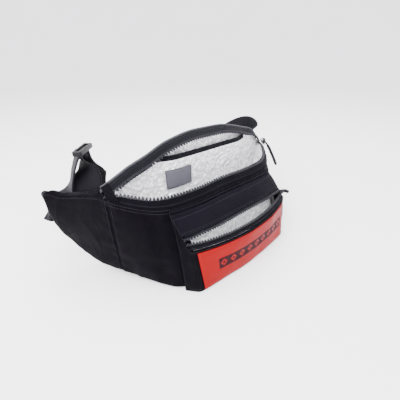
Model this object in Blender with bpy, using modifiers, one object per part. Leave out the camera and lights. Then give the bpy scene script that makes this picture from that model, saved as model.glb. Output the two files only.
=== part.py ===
"""Waist bag: soft shell with wings, open main zip, box-shaped front pocket and a strap loop.

Metres, +Z up. The bag stands on its base at z = 0, its pocket faces -Y, and the origin is the
middle of the flat underside. Run it with blender --background --python part.py.
"""
import math

import bmesh
import bpy
import numpy as np

# Driving dimensions of the bag
HALF_LENGTH = 0.200
BAG_DEPTH = 0.100
RIM_HEIGHT = 0.166
CORNER_RADIUS = 0.008
CORNER_SHARE = 0.3
FRONT_BULGE = 0.005
BACK_BULGE = 0.003

# Cloth, foil and clearances
WALL = 0.0018
FOIL = 0.0010
SEAM_GAP = 0.0003
EDGE_GAP = 0.0008

# Main zip
TAPE_WIDTH = 0.011
LINING_DROP = TAPE_WIDTH / 3
FRONT_TAPE_WAY = (0.65, 0.76)
REAR_TAPE_WAY = (0.71, 0.71)
TAPE_THICKNESS = 0.0010
CHAIN_WIDTH = 0.0045
CHAIN_THICKNESS = 0.0024
PIPING_RADIUS = 0.0019
SLIDER_LENGTH = 0.014
SLIDER_WIDTH = 0.010
SLIDER_HEIGHT = 0.007
SLIDER_EDGE = 0.0012
SLIDER_SHARE = 0.35
PULL_REACH = 0.030
PULL_DROP = 0.036
PULL_RADIUS = 0.0022

# Front pocket
POCKET_SEAM_WIDTH = 0.208
POCKET_SEAM_GAP = 0.0025
POCKET_SLIDER_SHARE = 0.6
POCKET_TAPE_CLOSES = 0.72
POCKET_BASE_WIDTH = 0.184
POCKET_TOP_WIDTH = 0.194
POCKET_FRONT = 0.055
POCKET_FRONT_HEIGHT = 0.062
POCKET_HEIGHT = 0.098
POCKET_LEAN = 0.013
POCKET_BASE_BOW = 0.006
POCKET_TOP_BOW = 0.019
POCKET_CORNER = 0.006
POCKET_CROWN = 0.003
POCKET_SLOPE_DROP = 0.018
POCKET_LINING_TOP = 0.88
POCKET_LINING_FRONT = (0.1, 0.9)
POCKET_LINING_TURN = 0.0025
POCKET_SLOPE_DEPTH = 0.022
POCKET_TAPE_WIDTH = 0.008
POCKET_CHAIN_WIDTH = 0.0036
POCKET_CHAIN_THICKNESS = 0.0020
POCKET_SLIDER_LENGTH = 0.009
POCKET_SLIDER_WIDTH = 0.007
POCKET_PULL_LENGTH = 0.011

# Patch and inner pocket
PATCH_WIDTH = 0.178
PATCH_HEIGHT = 0.056
PATCH_FOOT = 0.002
PATCH_THICKNESS = 0.0008
SLIP_LEFT = 0.124
SLIP_RIGHT = 0.104
SLIP_TOP = 0.136
SLIP_FOOT = 0.026
SLIP_STANDOFF = 0.0085
SLIP_FOOT_STANDOFF = 0.0012
BINDING_WIDTH = 0.007
BINDING_THICKNESS = 0.0016
LABEL_WIDTH = 0.042
LABEL_HEIGHT = 0.028
LABEL_THICKNESS = 0.0014
LABEL_PLACE = -0.041
LABEL_TOP = 0.123

# Webbing, its slide and its buckle
STRAP_WIDTH = 0.038
STRAP_THICKNESS = 0.0018
ADJUSTER_WIDTH = 0.012
ADJUSTER_HEIGHT = 0.006
ADJUSTER_OVERHANG = 1.05
ADJUSTER_WAY = (0.65, 0.76, 0.0)
BUCKLE_OVERHANG = 1.1
BUCKLE_THICKNESS = 0.012
BUCKLE_EDGE = 0.003

COLLECTION = "waist_bag"

# Half of the bag from the middle to a wing tip, one row a section. The x columns are shares of
# HALF_LENGTH, the y columns of BAG_DEPTH and the z columns of RIM_HEIGHT.
SECTION_COLUMNS = (
    "front_low_x", "front_low_y", "back_low_x", "back_low_y", "low_z",
    "front_top_x", "front_top_y", "front_top_z",
    "back_top_x", "back_top_y", "left_rim_z", "right_rim_z",
)
SECTIONS = np.array((
    (0.000, -0.42, 0.000, 0.42, 0.000, 0.000, -0.05, 0.625, 0.000, 0.66, 0.985, 0.985),
    (0.225, -0.42, 0.220, 0.42, 0.000, 0.225, -0.06, 0.620, 0.230, 0.66, 0.945, 0.980),
    (0.420, -0.41, 0.400, 0.43, 0.000, 0.420, -0.03, 0.620, 0.420, 0.65, 0.865, 0.940),
    (0.530, -0.37, 0.490, 0.45, 0.003, 0.530, 0.05, 0.625, 0.540, 0.65, 0.818, 0.900),
    (0.610, -0.20, 0.535, 0.49, 0.012, 0.605, 0.15, 0.640, 0.620, 0.64, 0.780, 0.875),
    (0.680, 0.02, 0.585, 0.54, 0.030, 0.675, 0.28, 0.662, 0.675, 0.63, 0.755, 0.835),
    (0.755, 0.27, 0.650, 0.60, 0.052, 0.740, 0.43, 0.690, 0.728, 0.635, 0.728, 0.750),
    (0.820, 0.45, 0.730, 0.66, 0.085, 0.790, 0.58, 0.712, 0.762, 0.715, 0.718, 0.718),
    (0.888, 0.66, 0.800, 0.80, 0.143, 0.862, 0.78, 0.699, 0.820, 0.86, 0.699, 0.699),
    (0.948, 0.88, 0.890, 0.94, 0.226, 0.934, 0.95, 0.681, 0.900, 1.01, 0.681, 0.681),
    (0.995, 1.05, 0.950, 1.10, 0.355, 0.985, 1.06, 0.702, 0.950, 1.11, 0.702, 0.702),
    (1.018, 1.12, 0.985, 1.16, 0.470, 1.020, 1.10, 0.690, 0.987, 1.15, 0.690, 0.690),
))
WING_SEAM_ROW = 6.2
MOUTH_EASE_ROW = 4.2
LAST_ROW = len(SECTIONS) - 1

# Stations along the bag, and points round one section
BODY_STATIONS = 22
WING_STATIONS = 9
WALL_POINTS = 5
CORNER_POINTS = 2
FLOOR_SHARES = (0.0, 0.07, 0.5, 0.93, 1.0)
WING_TOP_POINTS = 3
FRONT_SEAM = WALL_POINTS + 1 + CORNER_POINTS + 1
BACK_SEAM = FRONT_SEAM + len(FLOOR_SHARES) - 3

# Columns and rows of the pocket's grids
GUSSET_COLUMNS = 4
POCKET_COLUMNS = 14
POCKET_ROWS = 6

# Strap routes, one row a point: shares of HALF_LENGTH, BAG_DEPTH and RIM_HEIGHT for the middle
# of the webbing, the direction that its width takes there, and its share of STRAP_WIDTH.
ROUTE_COLUMNS = ("x", "y", "z", "across_x", "across_y", "across_z", "width")
LEFT_STRAP_ROUTE = (
    (-0.988, 1.107, 0.580, 0.0, 0.0, 1.0, 0.78),
    (-1.003, 1.135, 0.580, 0.0, 0.0, 1.0, 0.78),
    (-1.012, 1.190, 0.572, 0.0, 0.0, 1.0, 0.83),
    (-1.006, 1.250, 0.555, 0.0, 0.0, 1.0, 0.98),
    (-0.990, 1.310, 0.520, 0.0, 0.0, 1.0, 1.0),
    (-0.955, 1.340, 0.470, 0.1, 0.1, 1.0, 1.0),
    (-0.890, 1.380, 0.490, 0.1, 0.3, 0.9, 1.0),
    (-0.835, 1.390, 0.590, 0.3, 0.8, 0.4, 1.0),
    (-0.790, 1.390, 0.730, 0.23, 0.97, 0.0, 1.0),
    (-0.745, 1.375, 0.845, 0.23, 0.97, 0.0, 1.0),
    (-0.728, 1.370, 0.868, 0.23, 0.97, 0.0, 1.0),
    (-0.711, 1.365, 0.845, 0.23, 0.97, 0.0, 1.0),
    (-0.708, 1.330, 0.770, -0.15, 0.98, 0.0, 1.0),
    (-0.725, 1.250, 0.680, -0.80, 0.55, 0.0, 1.0),
    (-0.750, 1.200, 0.590, -0.97, 0.23, 0.0, 1.0),
    (-0.765, 1.180, 0.480, -0.97, 0.23, 0.0, 1.0),
)
LEFT_BELT_ROUTE = (
    (-0.656, 1.355, 0.862, 0.23, 0.97, 0.0, 1.0),
    (-0.654, 1.362, 0.825, 0.10, 0.97, 0.0, 1.0),
    (-0.645, 1.400, 0.760, -0.40, 0.92, 0.0, 1.0),
    (-0.650, 1.450, 0.680, -0.85, 0.50, 0.0, 1.0),
    (-0.665, 1.480, 0.560, -0.97, 0.23, 0.0, 1.0),
    (-0.660, 1.520, 0.400, -0.95, 0.25, -0.15, 1.0),
    (-0.620, 1.620, 0.235, -0.65, 0.40, -0.6, 1.0),
    (-0.510, 1.840, 0.150, -0.2, 0.1, -1.0, 1.0),
    (-0.350, 2.060, 0.119, 0.0, 0.0, -1.0, 1.0),
    (-0.155, 2.240, 0.117, 0.0, 0.0, -1.0, 1.0),
)
RIGHT_BELT_ROUTE = (
    (0.985, 1.107, 0.574, 0.0, 0.0, 1.0, 0.78),
    (1.001, 1.135, 0.574, 0.0, 0.0, 1.0, 0.78),
    (1.018, 1.210, 0.582, 0.0, 0.0, 1.0, 0.80),
    (1.062, 1.220, 0.640, 0.0, 0.1, 1.0, 1.0),
    (1.090, 1.270, 0.710, 0.0, 0.0, 1.0, 1.0),
    (1.070, 1.350, 0.755, 0.0, 0.0, 1.0, 1.0),
    (1.000, 1.400, 0.768, 0.0, 0.0, 1.0, 1.0),
    (0.880, 1.430, 0.750, 0.0, 0.0, 1.0, 1.0),
    (0.740, 1.470, 0.690, 0.0, 0.0, 1.0, 1.0),
    (0.610, 1.550, 0.545, 0.0, 0.0, 1.0, 1.0),
    (0.500, 1.740, 0.350, 0.0, 0.0, 1.0, 1.0),
    (0.400, 1.960, 0.190, 0.0, 0.0, 1.0, 1.0),
    (0.290, 2.150, 0.122, 0.0, 0.0, 1.0, 1.0),
    (0.155, 2.260, 0.117, 0.0, 0.0, 1.0, 1.0),
)
POINTS_PER_STEP = 2

UP = np.array((0.0, 0.0, 1.0))


def clear_scene():
    """Remove every object of the scene that the script starts in."""
    for item in list(bpy.data.objects):
        bpy.data.objects.remove(item, do_unlink=True)


def part_collection():
    """The collection that holds the pieces."""
    group = bpy.data.collections.get(COLLECTION)
    if group is None:
        group = bpy.data.collections.new(COLLECTION)
        bpy.context.scene.collection.children.link(group)
    return group


def finish(name, colour, roughness, metallic=0.0):
    """One Principled material."""
    material = bpy.data.materials.get(name) or bpy.data.materials.new(name)
    material.use_nodes = True
    shader = material.node_tree.nodes["Principled BSDF"]
    shader.inputs["Base Color"].default_value = (*colour, 1.0)
    shader.inputs["Roughness"].default_value = roughness
    shader.inputs["Metallic"].default_value = metallic
    return material


def nylon():
    return finish("black_nylon", (0.014, 0.012, 0.019), 0.75)


def foil():
    return finish("silver_foil", (0.80, 0.81, 0.85), 0.35, 0.6)


def zip_tape():
    return finish("zip_tape", (0.035, 0.036, 0.048), 0.7)


def zip_teeth():
    return finish("zip_teeth", (0.060, 0.062, 0.072), 0.45)


def red_film():
    return finish("red_film", (0.70, 0.035, 0.030), 0.4)


def grey_leather():
    return finish("grey_leather", (0.30, 0.29, 0.34), 0.6)


def webbing():
    return finish("webbing", (0.035, 0.032, 0.042), 0.8)


def plastic():
    return finish("black_plastic", (0.020, 0.020, 0.024), 0.4)


def slopes(values):
    """Tangents of a smooth curve through values that never overshoots them."""
    steps = np.diff(values, axis=0)
    result = np.zeros_like(values)
    result[0], result[-1] = steps[0], steps[-1]
    before, after = steps[:-1], steps[1:]
    same_way = before * after > 0
    total = np.where(same_way, before + after, 1.0)
    result[1:-1] = np.where(same_way, 2 * before * after / total, 0.0)
    return result


def smooth_row(table, tangents, place):
    """The row of a table at a fractional place, on the smooth curve through its rows."""
    low = int(min(max(math.floor(place), 0), len(table) - 2))
    t = place - low
    square, cube = t * t, t * t * t
    return ((2 * cube - 3 * square + 1) * table[low] + (cube - 2 * square + t) * tangents[low]
            + (3 * square - 2 * cube) * table[low + 1] + (cube - square) * tangents[low + 1])


SECTION_SLOPES = slopes(SECTIONS)
X_COLUMNS = [SECTION_COLUMNS.index(name) for name in SECTION_COLUMNS if name.endswith("_x")]
NOT_X_COLUMNS = [step for step in range(len(SECTION_COLUMNS)) if step not in X_COLUMNS]
SECTION_SLOPES[0, NOT_X_COLUMNS] = 0.0


def unit(vector):
    return vector / np.linalg.norm(vector)


def ease(share):
    """A smooth step from 0 to 1."""
    share = min(1.0, max(0.0, share))
    return share * share * (3 - 2 * share)


def corners(place):
    """The four corners of the section at a signed place: negative is the left half."""
    row = dict(zip(SECTION_COLUMNS, smooth_row(SECTIONS, SECTION_SLOPES, abs(place))))
    side = -1.0 if place < 0 else 1.0
    rim = row["left_rim_z"] if place < 0 else row["right_rim_z"]

    def corner(x, y, z):
        return np.array((side * x * HALF_LENGTH, y * BAG_DEPTH, z * RIM_HEIGHT))

    return (corner(row["front_top_x"], row["front_top_y"], row["front_top_z"]),
            corner(row["front_low_x"], row["front_low_y"], row["low_z"]),
            corner(row["back_low_x"], row["back_low_y"], row["low_z"]),
            corner(row["back_top_x"], row["back_top_y"], rim))


def place_at(x, column="front_low_x"):
    """The signed place of the section whose named corner lies at x."""
    known = SECTIONS[:, SECTION_COLUMNS.index(column)]
    return math.copysign(float(np.interp(abs(x) / HALF_LENGTH, known, range(len(known)))), x)


def outward(place):
    """Level direction from the back wall to the front wall at a section."""
    front_top, front_low, back_low, back_top = corners(place)
    way = front_top + front_low - back_low - back_top
    way[2] = 0.0
    return unit(way)


def fade(place):
    """Bulges fade out along the wings."""
    return max(0.0, 1.0 - abs(place) / LAST_ROW) ** 0.5


def front_point(place, share):
    """A point of the front wall, share 0 at the rim and 1 at the bottom seam."""
    front_top, front_low, _, _ = corners(place)
    bulge = FRONT_BULGE * fade(place) * math.sin(math.pi * share)
    return front_top + (front_low - front_top) * share + outward(place) * bulge


def back_point(place, share):
    """A point of the back wall, share 0 at the bottom seam and 1 at the rim."""
    _, _, back_low, back_top = corners(place)
    bulge = BACK_BULGE * fade(place) * math.sin(math.pi * share)
    return back_low + (back_top - back_low) * share - outward(place) * bulge


def rounding(before, corner, after, radius, count):
    """Points inside a rounded corner between two walls, and the point where it ends."""
    start = corner + unit(before - corner) * radius
    end = corner + unit(after - corner) * radius
    points = []
    for step in range(1, count + 1):
        t = step / (count + 1)
        points.append(start * (1 - t) ** 2 + corner * 2 * t * (1 - t) + end * t * t)
    return points, end


def section(place):
    """Front wall, floor and back wall of one section, as one line of points."""
    front_top, front_low, back_low, back_top = corners(place)
    radius = min(CORNER_RADIUS, CORNER_SHARE * np.linalg.norm(back_low - front_low))
    front_share = 1 - radius / np.linalg.norm(front_top - front_low)
    back_share = radius / np.linalg.norm(back_top - back_low)
    front_foot = front_point(place, front_share)
    back_foot = back_point(place, back_share)
    front_turn, floor_start = rounding(front_foot, front_low, back_low, radius, CORNER_POINTS)
    back_turn, floor_end = rounding(back_foot, back_low, front_low, radius, CORNER_POINTS)
    front = [front_point(place, front_share * step / WALL_POINTS)
             for step in range(WALL_POINTS + 1)]
    floor = [floor_start + (floor_end - floor_start) * share for share in FLOOR_SHARES]
    back = [back_point(place, back_share + (1 - back_share) * step / WALL_POINTS)
            for step in range(WALL_POINTS + 1)]
    return front + front_turn + floor + back_turn[::-1] + back


def body_places():
    """Places of the body's sections, from the left wing seam to the right one."""
    return np.linspace(-WING_SEAM_ROW, WING_SEAM_ROW, BODY_STATIONS)


def body_grid():
    return np.array([section(place) for place in body_places()])


def normals(grid):
    """Unit normals of a grid of points, away from the side that the sheets thicken to."""
    along = np.gradient(grid, axis=0)
    across = np.gradient(grid, axis=1)
    result = np.cross(across, along)
    return result / np.linalg.norm(result, axis=2, keepdims=True)


def inset(grid, distance):
    """The grid moved along its normals, inwards if the distance is positive."""
    return grid - normals(grid) * distance


def trim(grid, start=0.0, end=0.0):
    """Pull the first and last columns of a grid back by a length."""
    result = grid.copy()
    if start:
        way = grid[:, 1] - grid[:, 0]
        result[:, 0] += way / np.linalg.norm(way, axis=1, keepdims=True) * start
    if end:
        way = grid[:, -2] - grid[:, -1]
        result[:, -1] += way / np.linalg.norm(way, axis=1, keepdims=True) * end
    return result


def sheet(name, grid, thickness, material, closed=False, offset=-1.0, even=True):
    """A wall: an open surface through a grid of points, given its thickness."""
    mesh = bpy.data.meshes.new(name)
    shell = bmesh.new()
    rows = [[shell.verts.new(point) for point in row] for row in grid]
    width = len(rows[0])
    last = width if closed else width - 1
    for near, far in zip(rows, rows[1:]):
        for step in range(last):
            after = (step + 1) % width
            shell.faces.new((near[step], near[after], far[after], far[step]))
    shell.to_mesh(mesh)
    shell.free()
    item = bpy.data.objects.new(name, mesh)
    part_collection().objects.link(item)
    mesh.materials.append(material)
    mesh.shade_smooth()
    wall = item.modifiers.new("wall", "SOLIDIFY")
    wall.thickness = thickness
    wall.offset = offset
    wall.use_even_offset = even
    return item


def tube(name, points, radius, material):
    """A round bar along a line of points."""
    line = bpy.data.curves.new(name, "CURVE")
    line.dimensions = "3D"
    line.bevel_depth = radius
    line.bevel_resolution = 2
    line.use_fill_caps = True
    spline = line.splines.new("POLY")
    spline.points.add(len(points) - 1)
    for slot, point in zip(spline.points, points):
        slot.co = (*point, 1.0)
    item = bpy.data.objects.new(name, line)
    part_collection().objects.link(item)
    line.materials.append(material)
    return item


def block(name, middle, size, along, up, bevel, material):
    """A bevelled block: its length lies along one direction, its height near another."""
    bpy.ops.mesh.primitive_cube_add(size=1.0)
    item = bpy.context.active_object
    item.name = name
    for group in list(item.users_collection):
        group.objects.unlink(item)
    part_collection().objects.link(item)
    first = unit(np.array(along, float))
    second = unit(np.cross(np.array(up, float), first))
    turn = np.stack((first, second, np.cross(first, second)), axis=1)
    for vertex in item.data.vertices:
        vertex.co = turn @ (np.array(vertex.co) * np.array(size)) + middle
    item.data.materials.append(material)
    edge = item.modifiers.new("edge", "BEVEL")
    edge.width = bevel
    edge.segments = 1
    return item


def make_body():
    """Front, bottom and back panels between the two wing seams."""
    grid = body_grid()
    half = SEAM_GAP / 2
    sheet("front_panel", trim(grid[:, :FRONT_SEAM + 1], end=half), WALL, nylon())
    sheet("bottom_panel", trim(grid[:, FRONT_SEAM:BACK_SEAM + 1], half, half), WALL, nylon())
    sheet("back_panel", trim(grid[:, BACK_SEAM:], start=half), WALL, nylon())


def make_wing(name, side):
    """A hollow sleeve from the wing seam to the tip, where the webbing goes in."""
    row_length = HALF_LENGTH * (SECTIONS[7][0] - SECTIONS[6][0])
    start = WING_SEAM_ROW + 2 * EDGE_GAP / row_length
    rows = []
    for step in range(WING_STATIONS):
        place = side * (start + (LAST_ROW - start) * step / (WING_STATIONS - 1))
        line = section(place)
        top = [line[-1] + (line[0] - line[-1]) * turn / (WING_TOP_POINTS + 1)
               for turn in range(1, WING_TOP_POINTS + 1)]
        rows.append(line + top)
    grid = np.array(rows)
    if side < 0:
        grid = grid[::-1]
    sheet(name, grid, WALL, nylon(), closed=True)


def make_lining():
    """Foil sheet that lines the main bag, a little below both rims."""
    grid = inset(body_grid(), WALL + SEAM_GAP)
    sheet("main_lining", trim(grid, LINING_DROP, LINING_DROP), FOIL, foil())


def mouth(place):
    """Starts and directions of the front and rear tapes of the main zip, and their reach."""
    front_rim, _, _, rear_rim = corners(place)
    front = outward(place)
    front_start = front_rim + UP * (EDGE_GAP + TAPE_THICKNESS / 2)
    beside = PIPING_RADIUS + SEAM_GAP + TAPE_THICKNESS
    rear_start = rear_rim + UP * (EDGE_GAP + PIPING_RADIUS) + front * beside
    across = rear_start - front_start
    closing = ease((abs(place) - MOUTH_EASE_ROW) / (WING_SEAM_ROW - MOUTH_EASE_ROW))
    front_open = unit(UP * FRONT_TAPE_WAY[1] - front * FRONT_TAPE_WAY[0])
    rear_open = unit(front * REAR_TAPE_WAY[0] - UP * REAR_TAPE_WAY[1])
    front_way = unit(front_open * (1 - closing) + unit(across) * closing)
    rear_way = unit(rear_open * (1 - closing) - unit(across) * closing)
    reach = min(TAPE_WIDTH, np.linalg.norm(across) / 2 - CHAIN_WIDTH - 2 * SEAM_GAP - EDGE_GAP)
    return front_start, front_way, rear_start, rear_way, reach


def rim_line(places):
    """Middle of the rolled rim, square to the back wall's upper edge."""
    edge = np.array([corners(place)[3] for place in places])
    along = np.gradient(edge, axis=0)
    along /= np.linalg.norm(along, axis=1, keepdims=True)
    above = UP - along * (along @ UP)[:, None]
    above /= np.linalg.norm(above, axis=1, keepdims=True)
    return edge + above * (EDGE_GAP + PIPING_RADIUS)


def strips(starts, ways, reaches, width):
    """Grids of a tape and of the tooth row on its free edge."""
    tape, chain = [], []
    for start, way, reach in zip(starts, ways, reaches):
        root = reach + SEAM_GAP
        tape.append([start, start + way * reach])
        chain.append([start + way * root, start + way * (root + width)])
    return np.array(tape), np.array(chain)


def make_main_zip():
    """Tapes, tooth rows and the rolled rim; the lips meet at both ends."""
    places = body_places()
    mouths = [mouth(place) for place in places]
    reaches = [row[4] for row in mouths]
    for word, first in (("front", 0), ("rear", 2)):
        starts = [row[first] for row in mouths]
        ways = [row[first + 1] for row in mouths]
        tape, chain = strips(starts, ways, reaches, CHAIN_WIDTH)
        sheet(word + "_zip_tape", tape, TAPE_THICKNESS, zip_tape(), offset=0.0)
        sheet(word + "_zip_chain", chain, CHAIN_THICKNESS, zip_teeth(), offset=0.0)
    tube("rim_piping", rim_line(places), PIPING_RADIUS, nylon())


def make_main_slider():
    """The slider parked at the right end of the open zip, and its ribbed pull."""
    front_start, _, rear_start, _, _ = mouth(WING_SEAM_ROW)
    along = unit(front_start - mouth(WING_SEAM_ROW - 0.5)[0])
    across = unit(rear_start - front_start)
    above = unit(np.cross(along, across))
    lift = SLIDER_HEIGHT / 2 + CHAIN_THICKNESS / 2 + 3 * EDGE_GAP
    middle = front_start + (rear_start - front_start) * SLIDER_SHARE + above * lift
    size = (SLIDER_LENGTH, SLIDER_WIDTH, SLIDER_HEIGHT)
    block("main_zip_slider", middle, size, along, above, SLIDER_EDGE, zip_teeth())
    side = -unit(np.cross(above, along))
    start = middle + side * (SLIDER_WIDTH / 2 + EDGE_GAP)
    bend = start + side * PULL_REACH / 3
    end = start - UP * PULL_DROP + np.array((0.0, -PULL_REACH, 0.0))
    points = [start * (1 - t) ** 2 + bend * 2 * t * (1 - t) + end * t * t
              for t in np.linspace(0, 1, 9)]
    tube("main_zip_pull", points, PULL_RADIUS, webbing())


def body_front_at(x, z):
    """A point of the bag's front wall at a width and a height."""
    place = place_at(x)
    front_top, front_low, _, _ = corners(place)
    share = (front_top[2] - z) / (front_top[2] - front_low[2])
    return front_point(place, share), outward(place)


def pocket_seam(side, height):
    """Where the pocket's side meets the bag's front wall, at a share of the pocket's height."""
    z = height * POCKET_HEIGHT
    half = POCKET_SEAM_WIDTH / 2 + (POCKET_TOP_WIDTH - POCKET_SEAM_WIDTH) / 2 * height
    point, way = body_front_at(side * half, z)
    return np.array((side * half, point[1], z)) + way * POCKET_SEAM_GAP


def pocket_edge(side, z):
    """The pocket's front corner up to the zip, then the sloping edge of its side."""
    share = min(1.0, z / POCKET_FRONT_HEIGHT)
    half = POCKET_BASE_WIDTH / 2 + (POCKET_TOP_WIDTH - POCKET_BASE_WIDTH) / 2 * share
    y = -POCKET_FRONT + POCKET_LEAN * share
    if z > POCKET_FRONT_HEIGHT:
        top = pocket_seam(side, 1.0)
        rise = (z - POCKET_FRONT_HEIGHT) / (POCKET_HEIGHT - POCKET_FRONT_HEIGHT)
        y = y + (top[1] - WALL - y) * rise
    return np.array((side * half, y, z))


def gusset_point(side, across, up):
    """A point of the pocket's side, across 0 at the seam and 1 at the front corner."""
    top = POCKET_HEIGHT + (POCKET_FRONT_HEIGHT - POCKET_HEIGHT) * across
    z = up * top
    weight = across ** (1.0 - up) if across > 0 else 0.0
    seam = pocket_seam(side, z / POCKET_HEIGHT)
    return seam + (pocket_edge(side, z) - seam) * weight


def face_point(across, up):
    """A point of the pocket's front face, across -1 to 1 and up 0 to 1."""
    half = POCKET_BASE_WIDTH / 2 + (POCKET_TOP_WIDTH - POCKET_BASE_WIDTH) / 2 * up
    bow = POCKET_BASE_BOW + (POCKET_TOP_BOW - POCKET_BASE_BOW) * up
    y = -POCKET_FRONT + POCKET_LEAN * up - bow * (1 - across * across)
    return np.array((across * half, y, up * POCKET_FRONT_HEIGHT))


def face_places():
    """Places across the pocket's front face between its rounded corners."""
    inner = 1 - 2 * POCKET_CORNER / POCKET_TOP_WIDTH
    return np.linspace(-inner, inner, POCKET_COLUMNS + 1)


def shell_row(up):
    """One level line of the pocket's wall: left side, corner, front face, corner, right side."""
    places = face_places()
    sides = []
    for side in (-1.0, 1.0):
        line = [gusset_point(side, step / GUSSET_COLUMNS, up) for step in range(GUSSET_COLUMNS)]
        corner = gusset_point(side, 1.0, up)
        face = face_point(math.copysign(places[-1], side), up)
        turn = (line[-1] + 2 * corner + face) / 4
        sides.append(line + [turn])
    return sides[0] + [face_point(place, up) for place in places] + sides[1][::-1]


def make_pocket_walls():
    """The wrapped front and sides, the sloping top and the floor of the front pocket."""
    rows = [shell_row(step / POCKET_ROWS) for step in range(POCKET_ROWS + 1)]
    sheet("pocket_shell", np.array(rows), WALL, nylon())

    inner = 1 - 2 * (WALL + 2 * EDGE_GAP) / POCKET_TOP_WIDTH
    slope = []
    for place in np.linspace(-inner, inner, POCKET_COLUMNS + 1):
        top, low = slope_edges(place)
        line = []
        for step in range(4):
            t = step / 3
            crown = POCKET_CROWN * math.sin(math.pi * t) * (1 - place * place)
            line.append(low + (top - low) * t + np.array((0.0, -0.5, 0.87)) * crown)
        slope.append(line)
    sheet("pocket_top", np.array(slope)[::-1], WALL, nylon())

    floor = []
    for place in face_places():
        front = face_point(place, 0.0)
        front[1] += WALL + EDGE_GAP
        back = np.array((front[0], SECTIONS[0][1] * BAG_DEPTH - EDGE_GAP, 0.0))
        floor.append([front, (front + back) / 2, back])
    sheet("pocket_bottom", np.array(floor), WALL, nylon())


def slope_edges(place):
    """Upper and lower edge of the pocket's sloping top at a place across it."""
    x = place * POCKET_TOP_WIDTH / 2
    point, way = body_front_at(x, POCKET_HEIGHT)
    top = np.array((x, point[1], POCKET_HEIGHT)) + way * POCKET_SEAM_GAP
    low = np.array((x, top[1] - POCKET_SLOPE_DEPTH, POCKET_HEIGHT - POCKET_SLOPE_DROP))
    return top, low


def pocket_mouth(place):
    """Starts and directions of the pocket's upper and lower tapes, and their reach."""
    _, low = slope_edges(place)
    upper_start = low + np.array((0.0, -0.8, -0.6)) * SEAM_GAP * 2
    face = face_point(place, 1.0)
    lower_start = face + UP * (EDGE_GAP + TAPE_THICKNESS / 2)
    lower_start[1] += WALL / 2
    across = lower_start - upper_start
    closing = ease((abs(place) - POCKET_TAPE_CLOSES) / (1 - POCKET_TAPE_CLOSES))
    upper_open = unit(np.array((0.0, -0.85, -0.52)))
    lower_open = unit(np.array((0.0, 0.85, 0.52)))
    upper_way = unit(upper_open * (1 - closing) + unit(across) * closing)
    lower_way = unit(lower_open * (1 - closing) - unit(across) * closing)
    span = np.linalg.norm(across)
    reach = min(POCKET_TAPE_WIDTH, span / 2 - POCKET_CHAIN_WIDTH - 2 * SEAM_GAP)
    return upper_start, upper_way, lower_start, lower_way, reach


def make_pocket_zip():
    """Tapes and tooth rows of the pocket, its slider and its short pull."""
    inner = 1 - 2 * POCKET_CORNER / POCKET_TOP_WIDTH
    mouths = [pocket_mouth(place) for place in np.linspace(-inner, inner, POCKET_COLUMNS * 2)]
    reaches = [row[4] for row in mouths]
    for word, first in (("upper", 0), ("lower", 2)):
        starts = [row[first] for row in mouths]
        ways = [row[first + 1] for row in mouths]
        tape, chain = strips(starts, ways, reaches, POCKET_CHAIN_WIDTH)
        sheet("pocket_" + word + "_tape", tape, TAPE_THICKNESS, zip_tape(), offset=0.0)
        sheet("pocket_" + word + "_chain", chain, POCKET_CHAIN_THICKNESS, zip_teeth(), offset=0.0)
    upper_start, _, lower_start, _, _ = mouths[-1]
    up = unit(np.array((0.0, -0.77, 0.64)))
    size = (POCKET_SLIDER_LENGTH, POCKET_SLIDER_WIDTH, POCKET_SLIDER_WIDTH * POCKET_SLIDER_SHARE)
    lift = size[2] / 2 + POCKET_CHAIN_THICKNESS / 2 + 3 * EDGE_GAP
    middle = (upper_start + lower_start) / 2 + up * lift
    block("pocket_slider", middle, size, (1.0, 0.0, 0.0), up, SLIDER_EDGE, zip_teeth())
    start = middle + np.array((POCKET_SLIDER_LENGTH / 2 + 2 * EDGE_GAP, 0.0, 0.0))
    way = unit(np.array((0.85, -0.3, -0.45)))
    points = [start + way * POCKET_PULL_LENGTH * step / 3 for step in range(4)]
    tube("pocket_pull", points, PULL_RADIUS, webbing())


def make_pocket_lining():
    """Foil that lines the pocket: down the front, across the floor and up the bag's wall."""
    clear = WALL + SEAM_GAP * 2
    low, high = POCKET_LINING_FRONT
    grid = []
    for place in face_places():
        line = []
        for step in range(5):
            point = face_point(place, high + (low - high) * step / 4)
            line.append(point + np.array((0.0, clear, 0.0)))
        front_foot = face_point(place, 0.0) + np.array((0.0, clear + POCKET_LINING_TURN, clear))
        line.append(front_foot)
        foot, way = body_front_at(front_foot[0], CORNER_RADIUS)
        back = np.array((front_foot[0], foot[1], 0.0)) + way * (FOIL + EDGE_GAP)
        line.append(np.array((back[0], back[1] - POCKET_LINING_TURN, clear)))
        for step in range(6):
            z = CORNER_RADIUS + (POCKET_HEIGHT * POCKET_LINING_TOP - CORNER_RADIUS) * step / 5
            point, way = body_front_at(front_foot[0], z)
            line.append(np.array((front_foot[0], point[1], z)) + way * (FOIL + EDGE_GAP))
        grid.append(line)
    sheet("pocket_lining", np.array(grid), FOIL, foil())


def make_patch():
    """The smooth red panel on the pocket's front face."""
    half = PATCH_WIDTH / POCKET_TOP_WIDTH
    low = PATCH_FOOT / POCKET_FRONT_HEIGHT
    high = (PATCH_FOOT + PATCH_HEIGHT) / POCKET_FRONT_HEIGHT
    grid = [[face_point(place, up) for place in np.linspace(-half, half, POCKET_COLUMNS + 1)]
            for up in np.linspace(low, high, POCKET_ROWS)]
    raised = inset(np.array(grid), -(SEAM_GAP + PATCH_THICKNESS))
    sheet("red_patch", raised, PATCH_THICKNESS, red_film())


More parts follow.
